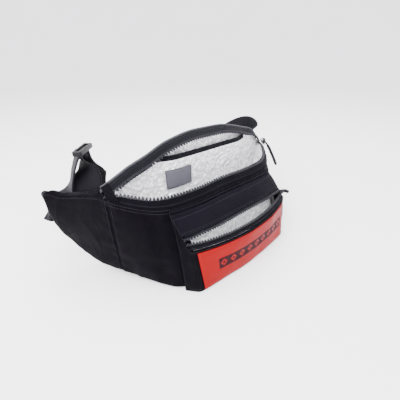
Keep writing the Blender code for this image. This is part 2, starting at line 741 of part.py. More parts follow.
def slip_point(x, z, lift=0.0):
    """A point of the inner pocket's face at a width and a height."""
    place = place_at(x, "back_top_x")
    _, _, back_low, back_top = corners(place)
    share = (z - back_low[2]) / (back_top[2] - back_low[2])
    slack = ease((back_top[2] - SLIP_TOP - TAPE_WIDTH) / TAPE_WIDTH)
    stand = SLIP_FOOT_STANDOFF + SLIP_STANDOFF * slack * min(1.0, z / SLIP_TOP) ** 2
    off = WALL + SEAM_GAP + FOIL + stand + lift
    point = back_point(place, share) + outward(place) * off
    return np.array((x, point[1], z))


def slip_top(x):
    """Height of the inner pocket's edge, which dips where the rim is low."""
    rim = corners(place_at(x, "back_top_x"))[3][2]
    return min(SLIP_TOP, rim - BINDING_WIDTH - TAPE_WIDTH / 2)


def make_slip_pocket():
    """Inner pocket on the rear wall, its dark binding and the small leather label."""
    face, binding = [], []
    for x in np.linspace(-SLIP_LEFT, SLIP_RIGHT, 17):
        top = slip_top(x)
        face.append([slip_point(x, z) for z in np.linspace(SLIP_FOOT, top, 6)])
        edge = top + SEAM_GAP
        binding.append([slip_point(x, z) for z in (edge, edge + BINDING_WIDTH)])
    sheet("slip_pocket", np.array(face), FOIL, foil(), offset=0.0)
    sheet("slip_pocket_binding", np.array(binding), BINDING_THICKNESS, zip_tape(), offset=0.0)
    left, right = LABEL_PLACE - LABEL_WIDTH / 2, LABEL_PLACE + LABEL_WIDTH / 2
    lift = FOIL / 2 + EDGE_GAP + LABEL_THICKNESS / 2
    label = [[slip_point(x, z, lift) for z in np.linspace(LABEL_TOP - LABEL_HEIGHT, LABEL_TOP, 4)]
             for x in np.linspace(left, right, 5)]
    sheet("leather_label", np.array(label), LABEL_THICKNESS, grey_leather(), offset=0.0)


def route_rows(route):
    """Middle, width direction and half width of the webbing at points along a smooth route."""
    scale = dict(x=HALF_LENGTH, y=BAG_DEPTH, z=RIM_HEIGHT, width=STRAP_WIDTH / 2)
    table = np.array(route) * np.array([scale.get(name, 1.0) for name in ROUTE_COLUMNS])
    tangents = np.gradient(table, axis=0)
    steps = (len(table) - 1) * POINTS_PER_STEP
    rows = np.array([smooth_row(table, tangents, step / POINTS_PER_STEP)
                     for step in range(steps + 1)])
    middles = rows[:, :3]
    ways = np.gradient(middles, axis=0)
    ways /= np.linalg.norm(ways, axis=1, keepdims=True)
    across = rows[:, 3:6]
    across = across - ways * np.sum(across * ways, axis=1, keepdims=True)
    across /= np.linalg.norm(across, axis=1, keepdims=True)
    return middles, across, rows[:, 6:]


def make_webbing(name, route):
    """A flat strap along its route, kept off the table that the bag stands on."""
    middles, across, half = route_rows(route)
    low = np.abs(across[:, 2]) * half[:, 0] + SEAM_GAP
    middles[:, 2] = np.maximum(middles[:, 2], low)
    grid = np.stack((middles - across * half, middles, middles + across * half), axis=1)
    sheet(name, grid, STRAP_THICKNESS, webbing(), offset=0.0, even=False)
    return grid


def make_straps():
    """The webbing from both wing tips, the left slide and the buckle behind the bag."""
    fold = make_webbing("left_strap", LEFT_STRAP_ROUTE)
    left = make_webbing("left_belt", LEFT_BELT_ROUTE)
    right = make_webbing("right_belt", RIGHT_BELT_ROUTE)
    cap = (fold[np.argmax(fold[:, 1, 2]), 1] + left[0, 1]) / 2
    cap[2] = fold[:, :, 2].max() + STRAP_THICKNESS / 2 + SEAM_GAP + ADJUSTER_HEIGHT / 2
    size = (STRAP_WIDTH * ADJUSTER_OVERHANG, ADJUSTER_WIDTH, ADJUSTER_HEIGHT)
    block("left_adjuster", cap, size, ADJUSTER_WAY, UP, SLIDER_EDGE, plastic())
    middle = (left[-1, 1] + right[-1, 1]) / 2
    way = right[-1, 1] - left[-1, 1]
    way[2] = 0.0
    length = np.linalg.norm(way) - 2 * EDGE_GAP
    height = STRAP_WIDTH * BUCKLE_OVERHANG
    middle[2] = height / 2 + SEAM_GAP
    block("buckle", middle, (length, BUCKLE_THICKNESS, height), way, UP, BUCKLE_EDGE, plastic())


def main():
    clear_scene()
    make_body()
    make_wing("left_wing", -1.0)
    make_wing("right_wing", 1.0)
    make_lining()
    make_main_zip()
    make_main_slider()
    make_pocket_walls()
    make_pocket_zip()
    make_pocket_lining()
    make_patch()
    make_slip_pocket()
    make_straps()


main()
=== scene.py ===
"""Waist bag: the looks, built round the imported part.

Lengths are in metres. The bag stands on its underside and its pocket faces -Y.
"""
import math

import bmesh
import bpy
import numpy as np
from bpy.props import FloatProperty, FloatVectorProperty, PointerProperty
from bpy.types import Operator, Panel, PropertyGroup
from mathutils import Matrix, Vector, noise


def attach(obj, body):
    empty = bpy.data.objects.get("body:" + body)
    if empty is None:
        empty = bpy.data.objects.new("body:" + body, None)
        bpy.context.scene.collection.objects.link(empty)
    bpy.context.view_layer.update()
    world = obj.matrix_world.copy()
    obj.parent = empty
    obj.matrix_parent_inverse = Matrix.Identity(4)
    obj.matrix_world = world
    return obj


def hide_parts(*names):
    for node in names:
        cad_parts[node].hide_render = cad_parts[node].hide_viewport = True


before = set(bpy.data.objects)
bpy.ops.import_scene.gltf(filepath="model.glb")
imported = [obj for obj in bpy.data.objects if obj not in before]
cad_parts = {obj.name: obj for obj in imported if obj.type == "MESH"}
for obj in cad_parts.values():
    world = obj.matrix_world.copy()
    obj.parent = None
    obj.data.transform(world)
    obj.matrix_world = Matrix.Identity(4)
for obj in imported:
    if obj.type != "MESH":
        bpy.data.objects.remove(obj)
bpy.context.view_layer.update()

bl_info = {
    "name": "Waist bag",
    "version": (1, 0, 0),
    "blender": (4, 5, 0),
    "location": "3D View > Sidebar > Waist bag",
    "description": "Builds a soft waist bag with open zips, a foil lining and a webbing belt",
    "category": "Object",
}

# Driving dimensions of the bag, the same as in the part
HALF_LENGTH = 0.200
BAG_DEPTH = 0.100
RIM_HEIGHT = 0.166
CORNER_RADIUS = 0.008
CORNER_SHARE = 0.3
FRONT_BULGE = 0.005
BACK_BULGE = 0.003

# Cloth, foil and clearances
WALL = 0.0018
FOIL = 0.0010
LINING_SLACK = 0.0035
LINING_END_SWELL = 0.005
LINING_SKIP = 6
SEAM_GAP = 0.0003
EDGE_GAP = 0.0008

# Main zip
TAPE_WIDTH = 0.011
LINING_DROP = TAPE_WIDTH / 3
FRONT_TAPE_WAY = (0.65, 0.76)
REAR_TAPE_WAY = (0.71, 0.71)
TAPE_THICKNESS = 0.0010
TAPE_RIPPLE = 0.0004
TAPE_RIPPLE_LENGTH = 0.016
TAPE_COLUMNS = 9
ZIP_CORD_PLACE = 0.0006
ZIP_CORD_SHARE = 0.34
CHAIN_WIDTH = 0.0045
CHAIN_THICKNESS = 0.0024
PIPING_RADIUS = 0.0019
SLIDER_LENGTH = 0.014
SLIDER_WIDTH = 0.010
SLIDER_HEIGHT = 0.007
SLIDER_SHARE = 0.35
TAB_END_ROW = -5.35
TAB_LIFT = 0.0030
TAB_OVERLAP = 0.08
PULL_REACH = 0.030
PULL_DROP = 0.036
PULL_RADIUS = 0.0026
PULL_RIBS = 15
POCKET_PULL_RIBS = 5

# Front pocket
POCKET_SEAM_WIDTH = 0.208
POCKET_SEAM_GAP = 0.0025
POCKET_BASE_WIDTH = 0.184
POCKET_TOP_WIDTH = 0.194
POCKET_FRONT = 0.055
POCKET_FRONT_HEIGHT = 0.062
POCKET_HEIGHT = 0.098
POCKET_LEAN = 0.013
POCKET_BASE_BOW = 0.006
POCKET_TOP_BOW = 0.019
POCKET_CORNER = 0.006
POCKET_CROWN = 0.003
POCKET_LINING_SHARE = 0.95
POCKET_TOP_TURN = 0.0035
POCKET_TOP_LAP = 0.06
POCKET_TOP_WAY = (0.0, -0.5, 0.87)
POCKET_RIDGE = 0.0016
POCKET_RIDGE_PLACE = 0.80
POCKET_RIDGE_WIDTH = 0.07
WELT_RADIUS = 0.0019
WELT_PLACE = (0.0, -0.0012, 0.0012)
POCKET_ZIP_SHARE = 0.985
POCKET_OPENING = 0.72
POCKET_SLOPE_DROP = 0.018
POCKET_SLOPE_DEPTH = 0.022
POCKET_TAPE_WIDTH = 0.008
POCKET_TAPE_CLOSES = 0.72
POCKET_TAPE_WAY = (0.0, -0.85, -0.52)
POCKET_LINING_TOP = 0.88
POCKET_LINING_FRONT = (0.1, 0.9)
POCKET_LINING_TURN = 0.0025
POCKET_CHAIN_WIDTH = 0.0036
POCKET_CHAIN_THICKNESS = 0.0020
POCKET_SLIDER_LENGTH = 0.009
POCKET_SLIDER_SHARE = 0.6
POCKET_SLIDER_WIDTH = 0.007
POCKET_SLIDER_UP = (0.0, -0.77, 0.64)
POCKET_PULL_LENGTH = 0.011
POCKET_PULL_WAY = (0.85, -0.3, -0.45)

# Patch and inner pocket
PATCH_WIDTH = 0.178
PATCH_HEIGHT = 0.056
PATCH_FOOT = 0.002
PATCH_THICKNESS = 0.0008
PATCH_SWELL = 0.00045
PATCH_SWELL_REACH = 0.006
PATCH_PUCKER = 0.00018
PATCH_PUCKER_REACH = 0.004
PATCH_PUCKER_LENGTH = 0.0042
BAND_LENGTH = 0.141
BAND_HEIGHT = 0.017
BAND_SHIFT = 0.0075
BAND_RISE = -0.001
BAND_LOZENGES = 9
SLIP_LEFT = 0.124
SLIP_RIGHT = 0.104
SLIP_TOP = 0.136
SLIP_FOOT = 0.026
SLIP_STANDOFF = 0.0085
SLIP_FOOT_STANDOFF = 0.0012
BINDING_WIDTH = 0.007
BINDING_THICKNESS = 0.0016
LABEL_WIDTH = 0.042
LABEL_HEIGHT = 0.028
LABEL_THICKNESS = 0.0014
LABEL_PLACE = -0.041
LABEL_TOP = 0.123

# Webbing, its slide and its buckle
STRAP_WIDTH = 0.038
STRAP_THICKNESS = 0.0018
WEB_CUP = 0.0009
WEB_CUP_LENGTH = 0.060
WEB_STITCH = 1.4
ADJUSTER_WIDTH = 0.012
ADJUSTER_HEIGHT = 0.006
ADJUSTER_SINK = 0.001
ADJUSTER_RAIL_PLACES = (-0.365, 0.0, 0.365)
ADJUSTER_RAIL_WIDTH = 0.27
ADJUSTER_RAIL_CORNER = 0.12
ADJUSTER_BAR_DROP = 0.0016
ADJUSTER_CHEEK = 0.004
ADJUSTER_OVERHANG = 1.05
ADJUSTER_WAY = (0.65, 0.76, 0.0)
BUCKLE_OVERHANG = 1.1
BUCKLE_THICKNESS = 0.012

# Half of the bag from the middle to a wing tip, one row a section. The x columns are shares of
# HALF_LENGTH, the y columns of BAG_DEPTH and the z columns of RIM_HEIGHT.
SECTION_COLUMNS = (
    "front_low_x", "front_low_y", "back_low_x", "back_low_y", "low_z",
    "front_top_x", "front_top_y", "front_top_z",
    "back_top_x", "back_top_y", "left_rim_z", "right_rim_z",
)
SECTIONS = np.array((
    (0.000, -0.42, 0.000, 0.42, 0.000, 0.000, -0.05, 0.625, 0.000, 0.66, 0.985, 0.985),
    (0.225, -0.42, 0.220, 0.42, 0.000, 0.225, -0.06, 0.620, 0.230, 0.66, 0.945, 0.980),
    (0.420, -0.41, 0.400, 0.43, 0.000, 0.420, -0.03, 0.620, 0.420, 0.65, 0.865, 0.940),
    (0.530, -0.37, 0.490, 0.45, 0.003, 0.530, 0.05, 0.625, 0.540, 0.65, 0.818, 0.900),
    (0.610, -0.20, 0.535, 0.49, 0.012, 0.605, 0.15, 0.640, 0.620, 0.64, 0.780, 0.875),
    (0.680, 0.02, 0.585, 0.54, 0.030, 0.675, 0.28, 0.662, 0.675, 0.63, 0.755, 0.835),
    (0.755, 0.27, 0.650, 0.60, 0.052, 0.740, 0.43, 0.690, 0.728, 0.635, 0.728, 0.750),
    (0.820, 0.45, 0.730, 0.66, 0.085, 0.790, 0.58, 0.712, 0.762, 0.715, 0.718, 0.718),
    (0.888, 0.66, 0.800, 0.80, 0.143, 0.862, 0.78, 0.699, 0.820, 0.86, 0.699, 0.699),
    (0.948, 0.88, 0.890, 0.94, 0.226, 0.934, 0.95, 0.681, 0.900, 1.01, 0.681, 0.681),
    (0.995, 1.05, 0.950, 1.10, 0.355, 0.985, 1.06, 0.702, 0.950, 1.11, 0.702, 0.702),
    (1.018, 1.12, 0.985, 1.16, 0.470, 1.020, 1.10, 0.690, 0.987, 1.15, 0.690, 0.690),
))
WING_SEAM_ROW = 6.2
MOUTH_EASE_ROW = 4.2
LAST_ROW = len(SECTIONS) - 1

# Strap routes, one row a point: shares of HALF_LENGTH, BAG_DEPTH and RIM_HEIGHT for the middle
# of the webbing, the direction that its width takes there, and its share of STRAP_WIDTH.
ROUTE_COLUMNS = ("x", "y", "z", "across_x", "across_y", "across_z", "width")
LEFT_STRAP_ROUTE = (
    (-0.988, 1.107, 0.580, 0.0, 0.0, 1.0, 0.78),
    (-1.003, 1.135, 0.580, 0.0, 0.0, 1.0, 0.78),
    (-1.012, 1.190, 0.572, 0.0, 0.0, 1.0, 0.83),
    (-1.006, 1.250, 0.555, 0.0, 0.0, 1.0, 0.98),
    (-0.990, 1.310, 0.520, 0.0, 0.0, 1.0, 1.0),
    (-0.955, 1.340, 0.470, 0.1, 0.1, 1.0, 1.0),
    (-0.890, 1.380, 0.490, 0.1, 0.3, 0.9, 1.0),
    (-0.835, 1.390, 0.590, 0.3, 0.8, 0.4, 1.0),
    (-0.790, 1.390, 0.730, 0.23, 0.97, 0.0, 1.0),
    (-0.745, 1.375, 0.845, 0.23, 0.97, 0.0, 1.0),
    (-0.728, 1.370, 0.868, 0.23, 0.97, 0.0, 1.0),
    (-0.711, 1.365, 0.845, 0.23, 0.97, 0.0, 1.0),
    (-0.708, 1.330, 0.770, -0.15, 0.98, 0.0, 1.0),
    (-0.725, 1.250, 0.680, -0.80, 0.55, 0.0, 1.0),
    (-0.750, 1.200, 0.590, -0.97, 0.23, 0.0, 1.0),
    (-0.765, 1.180, 0.480, -0.97, 0.23, 0.0, 1.0),
)
LEFT_BELT_ROUTE = (
    (-0.656, 1.355, 0.862, 0.23, 0.97, 0.0, 1.0),
    (-0.654, 1.362, 0.825, 0.10, 0.97, 0.0, 1.0),
    (-0.645, 1.400, 0.760, -0.40, 0.92, 0.0, 1.0),
    (-0.650, 1.450, 0.680, -0.85, 0.50, 0.0, 1.0),
    (-0.665, 1.480, 0.560, -0.97, 0.23, 0.0, 1.0),
    (-0.660, 1.520, 0.400, -0.95, 0.25, -0.15, 1.0),
    (-0.620, 1.620, 0.235, -0.65, 0.40, -0.6, 1.0),
    (-0.510, 1.840, 0.150, -0.2, 0.1, -1.0, 1.0),
    (-0.350, 2.060, 0.119, 0.0, 0.0, -1.0, 1.0),
    (-0.155, 2.240, 0.117, 0.0, 0.0, -1.0, 1.0),
)
RIGHT_BELT_ROUTE = (
    (0.985, 1.107, 0.574, 0.0, 0.0, 1.0, 0.78),
    (1.001, 1.135, 0.574, 0.0, 0.0, 1.0, 0.78),
    (1.018, 1.210, 0.582, 0.0, 0.0, 1.0, 0.80),
    (1.062, 1.220, 0.640, 0.0, 0.1, 1.0, 1.0),
    (1.090, 1.270, 0.710, 0.0, 0.0, 1.0, 1.0),
    (1.070, 1.350, 0.755, 0.0, 0.0, 1.0, 1.0),
    (1.000, 1.400, 0.768, 0.0, 0.0, 1.0, 1.0),
    (0.880, 1.430, 0.750, 0.0, 0.0, 1.0, 1.0),
    (0.740, 1.470, 0.690, 0.0, 0.0, 1.0, 1.0),
    (0.610, 1.550, 0.545, 0.0, 0.0, 1.0, 1.0),
    (0.500, 1.740, 0.350, 0.0, 0.0, 1.0, 1.0),
    (0.400, 1.960, 0.190, 0.0, 0.0, 1.0, 1.0),
    (0.290, 2.150, 0.122, 0.0, 0.0, 1.0, 1.0),
    (0.155, 2.260, 0.117, 0.0, 0.0, 1.0, 1.0),
)

# Cloth: how its dents, folds and seam gathers lie
CLOTH_DENTS = dict(size=0.055, stretch=(1.0, 1.0, 0.7))
CLOTH_SLANTS = dict(size=0.030, stretch=(0.8, 0.8, 1.5), octaves=2)
CLOTH_FOLDS = dict(size=0.050, stretch=(1.0, 1.0, 0.55), sharpness=7.0)
SEAM_REACH = 0.012
FLOOR_SEAM_REACH = 0.010
TIP_SEAM_REACH = 0.016
PUCKER_DEPTH = 0.0007
PUCKER_START = 0.003
RIM_PUCKER_SHIFT = 0.004
RIM_PUCKER_REACH = 0.006
END_PUCKER_PITCH = 0.016
WING_PUCKER_PITCH = 0.014
TIP_PUCKER_PITCH = 0.010
TIP_PUCKER_REACH = 0.009
SIDE_DENT_PLACE = 0.118
SIDE_DENT_WIDTH = 0.010
SIDE_DENT_SHARE = 1.1
FOOT_REACH = 0.03

# Foil: one row a layer of creases, the coarse one first
CREASE_COLUMNS = ("share", "size", "stretch", "seed", "sharpness")
MAIN_CREASES = (
    (1.0, 0.034, (1.0, 1.0, 0.8), 3.3, 6.0),
    (0.6, 0.016, (1.0, 1.0, 1.0), 6.3, 6.0),
)
POCKET_CREASES = (
    (1.0, 0.020, (1.0, 1.0, 1.0), 2.2, 6.0),
    (0.5, 0.010, (1.0, 1.0, 1.0), 5.5, 6.0),
)
SLIP_CREASES = (
    (1.0, 0.030, (1.0, 1.0, 1.0), 1.3, 7.0),
    (0.45, 0.014, (1.0, 1.0, 1.0), 4.3, 7.0),
)
FOIL_EDGE = 0.006
POCKET_FOIL_EDGE = 0.004
LINING_END_CLOSES = 0.97
LINING_END_STEPS = 14
SLIP_CREASE_SHARE = 0.75
LABEL_FLAT_WIDTH = 0.026
LABEL_FLAT_HEIGHT = 0.019

# Stitches and where their rows lie, in columns of the cloth's grid from its edge
STITCH_RISE = 0.12
STITCH_FLATNESS = 0.8
STITCH_LOOSENESS = 0.05
RIM_STITCH = 1.6
RIM_SECOND_STITCH = 3.6
SEAM_STITCH = 2.5
SEAM_STITCH_ROW = 3

# Teeth, sliders and the clasp: points as shares of a piece's length and width
TOOTH_OUTLINE = (
    (-0.50, -0.12), (0.50, -0.12), (0.44, 0.22), (0.30, 0.48), (0.24, 0.74),
    (0.12, 0.92), (-0.12, 0.92), (-0.24, 0.74), (-0.30, 0.48), (-0.44, 0.22),
)
TOOTH_TAPER = 0.72
TOOTH_ROUNDING = 0.08
TOOTH_LOOSENESS = 0.02
SLIDER_PLATE = (
    (-0.50, -0.30), (-0.38, -0.42), (0.10, -0.50), (0.42, -0.50), (0.50, -0.40),
    (0.50, 0.40), (0.42, 0.50), (0.10, 0.50), (-0.38, 0.42), (-0.50, 0.30),
)
SLIDER_WEDGE = ((0.12, 0.0), (0.50, -0.16), (0.50, 0.16))
SLIDER_LIP = ((-0.42, 0.40), (0.06, 0.49), (0.06, 0.40), (-0.42, 0.31))
CLASP_PRONG = (
    (-0.02, 0.42), (0.16, 0.50), (0.30, 0.47), (0.38, 0.36), (0.30, 0.33), (0.12, 0.38),
)
# Clasp boxes: middle, length, height and thickness as shares, then the corner radius
CLASP_BOXES = (
    (-0.20, 0.52, 0.92, 1.0, 0.006),
    (0.18, 0.36, 0.66, 0.8, 0.004),
    (0.44, 0.11, 0.98, 0.7, 0.002),
)
CLASP_PRONG_THICKNESS = 0.62
BEVEL_SEGMENTS = 2
BEVEL_ANGLE = 35

# Finishes
SHEEN_ROUGHNESS = 0.45
CLOTH_THREADS = 2100.0
TAPE_THREADS = 1500.0
FILM_THREADS = 2200.0
WEBBING_RIBS = 2300.0
WEBBING_THREADS = 3800.0
FOIL_FINENESS = 120.0
FOIL_RELIEF = 0.0036
LABEL_EDGE = 0.0011
LABEL_LINE = 0.0030
LABEL_LINE_WIDTH = 0.0004
LOZENGE_SLOPE = 2.9
LOZENGE_HOLE = 0.42

# Floor, lights and camera; a light's row is its name, place, size and power
FLOOR_RADIUS = 2.6
FLOOR_TURN = 1.6
FLOOR_WALL = 3.4
FLOOR_SIDES = 96
FLOOR_BEND_STEPS = 17
FLOOR_DROP = 0.0004
WORLD_COLOUR = (1.0, 0.99, 1.0, 1.0)
WORLD_STRENGTH = 3.4
LIGHTS = (
    ("key", (-0.9, -0.2, 1.1), 0.8, 44.0),
    ("fill", (0.9, -0.9, 0.9), 1.2, 8.0),
    ("top", (0.3, 0.5, 1.4), 1.0, 24.0),
)
LIGHT_TARGET = (0.0, 0.03, 0.05)
CAMERA_PLACE = (-0.226, -0.209, 0.260)
CAMERA_TURN = (59.07, 0.0, -40.9)
CAMERA_SENSOR = 36.0
CAMERA_FOCAL_PIXELS = 242
CAMERA_NEAREST = 0.01
PHOTO_PIXELS = 400

# How finely each surface is divided
BODY_STATIONS = 190
WING_STATIONS = 64
WALL_POINTS = 54
CORNER_POINTS = 5
FLOOR_SHARES = np.concatenate(((0.0,), np.linspace(0.07, 0.93, 23), (1.0,)))
WING_TOP_POINTS = 12
TIP_ROUND_ROW = 7.5
TIP_ROUND_STEPS = 7
FRONT_SEAM = WALL_POINTS + 1 + CORNER_POINTS + 1
BACK_SEAM = FRONT_SEAM + len(FLOOR_SHARES) - 3
GUSSET_COLUMNS = 26
POCKET_COLUMNS = 110
POCKET_ROWS = 40
POINTS_PER_STEP = 10
WEB_COLUMNS = 16

UP = np.array((0.0, 0.0, 1.0))
CLOTH_UV = "cloth"
FINISH = "_finish"


def slopes(values):
    """Tangents of a smooth curve through values that never overshoots them."""
    steps = np.diff(values, axis=0)
    result = np.zeros_like(values)
    result[0], result[-1] = steps[0], steps[-1]
    before, after = steps[:-1], steps[1:]
    same_way = before * after > 0
    total = np.where(same_way, before + after, 1.0)
    result[1:-1] = np.where(same_way, 2 * before * after / total, 0.0)
    return result


def smooth_row(table, tangents, place):
    """The row of a table at a fractional place, on the smooth curve through its rows."""
    low = int(min(max(math.floor(place), 0), len(table) - 2))
    t = place - low
    square, cube = t * t, t * t * t
    return ((2 * cube - 3 * square + 1) * table[low] + (cube - 2 * square + t) * tangents[low]
            + (3 * square - 2 * cube) * table[low + 1] + (cube - square) * tangents[low + 1])


SECTION_SLOPES = slopes(SECTIONS)
X_COLUMNS = [SECTION_COLUMNS.index(name) for name in SECTION_COLUMNS if name.endswith("_x")]
NOT_X_COLUMNS = [step for step in range(len(SECTION_COLUMNS)) if step not in X_COLUMNS]
SECTION_SLOPES[0, NOT_X_COLUMNS] = 0.0


def unit(vector):
    """The vector at length 1."""
    return vector / np.linalg.norm(vector)


def ease(share):
    """A smooth step from 0 to 1."""
    share = np.clip(share, 0.0, 1.0)
    return share * share * (3 - 2 * share)


def corners(place):
    """The four corners of the section at a signed place: negative is the left half."""
    row = dict(zip(SECTION_COLUMNS, smooth_row(SECTIONS, SECTION_SLOPES, abs(place))))
    side = -1.0 if place < 0 else 1.0
    rim = row["left_rim_z"] if place < 0 else row["right_rim_z"]

    def corner(x, y, z):
        return np.array((side * x * HALF_LENGTH, y * BAG_DEPTH, z * RIM_HEIGHT))

    return (corner(row["front_top_x"], row["front_top_y"], row["front_top_z"]),
            corner(row["front_low_x"], row["front_low_y"], row["low_z"]),
            corner(row["back_low_x"], row["back_low_y"], row["low_z"]),
            corner(row["back_top_x"], row["back_top_y"], rim))


def place_at(x, column="front_low_x"):
    """The signed place of the section whose named corner lies at x."""
    known = SECTIONS[:, SECTION_COLUMNS.index(column)]
    return math.copysign(float(np.interp(abs(x) / HALF_LENGTH, known, range(len(known)))), x)


def outward(place):
    """Level direction from the back wall to the front wall at a section."""
    front_top, front_low, back_low, back_top = corners(place)
    way = front_top + front_low - back_low - back_top
    way[2] = 0.0
    return unit(way)


def fade(place):
    """Bulges fade out along the wings."""
    return max(0.0, 1.0 - abs(place) / LAST_ROW) ** 0.5


def wall_line(start, end, bulge, shares):
    """Points from one corner of a section to another, bulging in between."""
    shares = np.asarray(shares)[:, None]
    return start + (end - start) * shares + bulge * np.sin(np.pi * shares)


def bend(start, corner, end, shares):
    """Points of a curve from start to end that heads for the corner at both of them."""
    t = np.asarray(shares)[:, None]
    return start * (1 - t) ** 2 + corner * 2 * t * (1 - t) + end * t * t


def rounding(before, corner, after, radius):
    """Points inside a rounded corner between two walls, and the point where it ends."""
    start = corner + unit(before - corner) * radius
    end = corner + unit(after - corner) * radius
    shares = np.arange(1, CORNER_POINTS + 1) / (CORNER_POINTS + 1)
    return bend(start, corner, end, shares), end


def section(place):
    """Front wall, floor and back wall of one section, as one line of points."""
    front_top, front_low, back_low, back_top = corners(place)
    way = outward(place) * fade(place)
    radius = min(CORNER_RADIUS, CORNER_SHARE * np.linalg.norm(back_low - front_low))
    front_share = 1 - radius / np.linalg.norm(front_top - front_low)
    back_share = radius / np.linalg.norm(back_top - back_low)
    front = wall_line(front_top, front_low, way * FRONT_BULGE,
                      np.linspace(0, front_share, WALL_POINTS + 1))
    back = wall_line(back_low, back_top, -way * BACK_BULGE,
                     np.linspace(back_share, 1, WALL_POINTS + 1))
    front_turn, floor_start = rounding(front[-1], front_low, back_low, radius)
    back_turn, floor_end = rounding(back[0], back_low, front_low, radius)
    floor = floor_start + (floor_end - floor_start) * FLOOR_SHARES[:, None]
    return np.concatenate((front, front_turn, floor, back_turn[::-1], back))


def body_places():
    """Places of the body's sections, from the left wing seam to the right one."""
    return np.linspace(-WING_SEAM_ROW, WING_SEAM_ROW, BODY_STATIONS)


def body_grid():
    """The body's walls and floor as one grid of points."""
    return np.array([section(place) for place in body_places()])


def normals(grid):
    """Unit normals of a grid of points, away from the side that the sheets thicken to."""
    along = np.gradient(grid, axis=0)
    across = np.gradient(grid, axis=1)
    result = np.cross(across, along)
    length = np.linalg.norm(result, axis=2, keepdims=True)
    return result / np.maximum(length, 1e-12)


def inset(grid, distance):
    """The grid moved along its normals, inwards if the distance is positive."""
    return grid - normals(grid) * distance


def trim(grid, start=0.0, end=0.0):
    """Pull the first and last columns of a grid back by a length."""
    result = grid.copy()
    if start:
        way = grid[:, 1] - grid[:, 0]
        result[:, 0] += way / np.linalg.norm(way, axis=1, keepdims=True) * start
    if end:
        way = grid[:, -2] - grid[:, -1]
        result[:, -1] += way / np.linalg.norm(way, axis=1, keepdims=True) * end
    return result


def spans(grid):
    """Distance of each point from the first row, and from the first column."""
    rows = np.linalg.norm(np.diff(grid, axis=0), axis=2)
    columns = np.linalg.norm(np.diff(grid, axis=1), axis=2)
    along = np.concatenate((np.zeros((1, grid.shape[1])), np.cumsum(rows, axis=0)))
    across = np.concatenate((np.zeros((grid.shape[0], 1)), np.cumsum(columns, axis=1)), axis=1)
    return along, across


def margins(grid, reach, first_row=True):
    """0 on the edges of a grid, the first row's only if asked, and 1 further in than the reach."""
    along, across = spans(grid)
    result = ease((along[-1:] - along) / reach)
    if first_row:
        result *= ease(along / reach)
    return result * ease(across / reach) * ease((across[:, -1:] - across) / reach)


def waves(grid, size, stretch=(1.0, 1.0, 1.0), seed=0.0, octaves=3):
    """Soft unevenness from -1 to 1 over a grid; a low stretch lengthens it that way."""
    points = grid.reshape(-1, 3) * np.array(stretch) / size + seed
    result = np.zeros(len(points))
    for step in range(octaves):
        share = 0.5 ** step
        result += share * np.array([noise.noise(Vector(point)) for point in points * 2 ** step])
    return result.reshape(grid.shape[:2])


def creases(grid, size, stretch, seed, sharpness):
    """Sharp ridges from 0 to 1 over a grid, where the soft unevenness changes sign."""
    first = np.exp(-sharpness * np.abs(waves(grid, size, stretch, seed, 2)))
    second = np.exp(-sharpness * np.abs(waves(grid, size * 0.55, stretch, seed + 9.1, 2)))
    return 0.62 * first + 0.38 * second


def crumple(grid, rows):
    """Creases of several sizes, one over the other."""
    height = np.zeros(grid.shape[:2])
    for row in rows:
        settings = dict(zip(CREASE_COLUMNS, row))
        share = settings.pop("share")
        height += share * creases(grid, **settings)
    return height


def raised(grid, height):
    """The grid with each point moved out along its normal by its height."""
    return grid + normals(grid) * height[:, :, None]


def seam_pucker(distance, along, pitch=0.013, reach=0.007):
    """Small gathers beside a seam, dying out with the distance from it."""
    drift = 1.7 * np.sin(along / pitch * 0.9)
    beat = 0.5 + 0.5 * np.sin(2 * np.pi * along / pitch + drift)
    fall = np.exp(-((distance - reach * 0.5) / reach) ** 2) * ease(distance / PUCKER_START)
    return PUCKER_DEPTH * beat * fall


# Making of pieces


def belongs(item, slot, *nodes):
    """Let a finished piece ride on the bag and stand for its solids."""
    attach(item, "root")
    if nodes:
        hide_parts(*nodes)
    return item


def link(name, data, material=None):
    """A new object in the scene from a mesh, a light or a camera."""
    item = bpy.data.objects.new(name, data)
    bpy.context.scene.collection.objects.link(item)
    if material is not None:
        data.materials.append(material)
    return item


def sheet(name, grid, thickness, material, closed=False, offset=-1.0):
    """A wall through a grid of points, with a cloth map in metres, given its thickness."""
    rows, columns = grid.shape[:2]
    last = columns if closed else columns - 1
    near = np.arange(rows - 1)[:, None] * columns + np.arange(last)[None, :]
    after = np.arange(rows - 1)[:, None] * columns + (np.arange(last)[None, :] + 1) % columns
    faces = np.stack((near, after, after + columns, near + columns), axis=2).reshape(-1, 4)
    mesh = bpy.data.meshes.new(name)
    mesh.from_pydata(grid.reshape(-1, 3).tolist(), [], faces.tolist())
    middle = grid[:, columns // 2]
    along = np.concatenate(((0.0,), np.cumsum(np.linalg.norm(np.diff(middle, axis=0), axis=1))))
    _, across = spans(grid)
    across = across - across[:, -1:] / 2
    layout = np.stack((np.repeat(along[:, None], columns, axis=1), across), axis=2).reshape(-1, 2)
    corner_points = np.array([loop.vertex_index for loop in mesh.loops])
    values = layout[corner_points]
    if closed:
        values = unwrap(values, corner_points % columns, columns, across)
    mesh.uv_layers.new(name=CLOTH_UV).data.foreach_set("uv", values.ravel())
    mesh.shade_smooth()
    item = link(name, mesh, material)
    wall = item.modifiers.new("wall", "SOLIDIFY")
    wall.thickness = thickness
    wall.offset = offset
    wall.use_even_offset = False
    return item


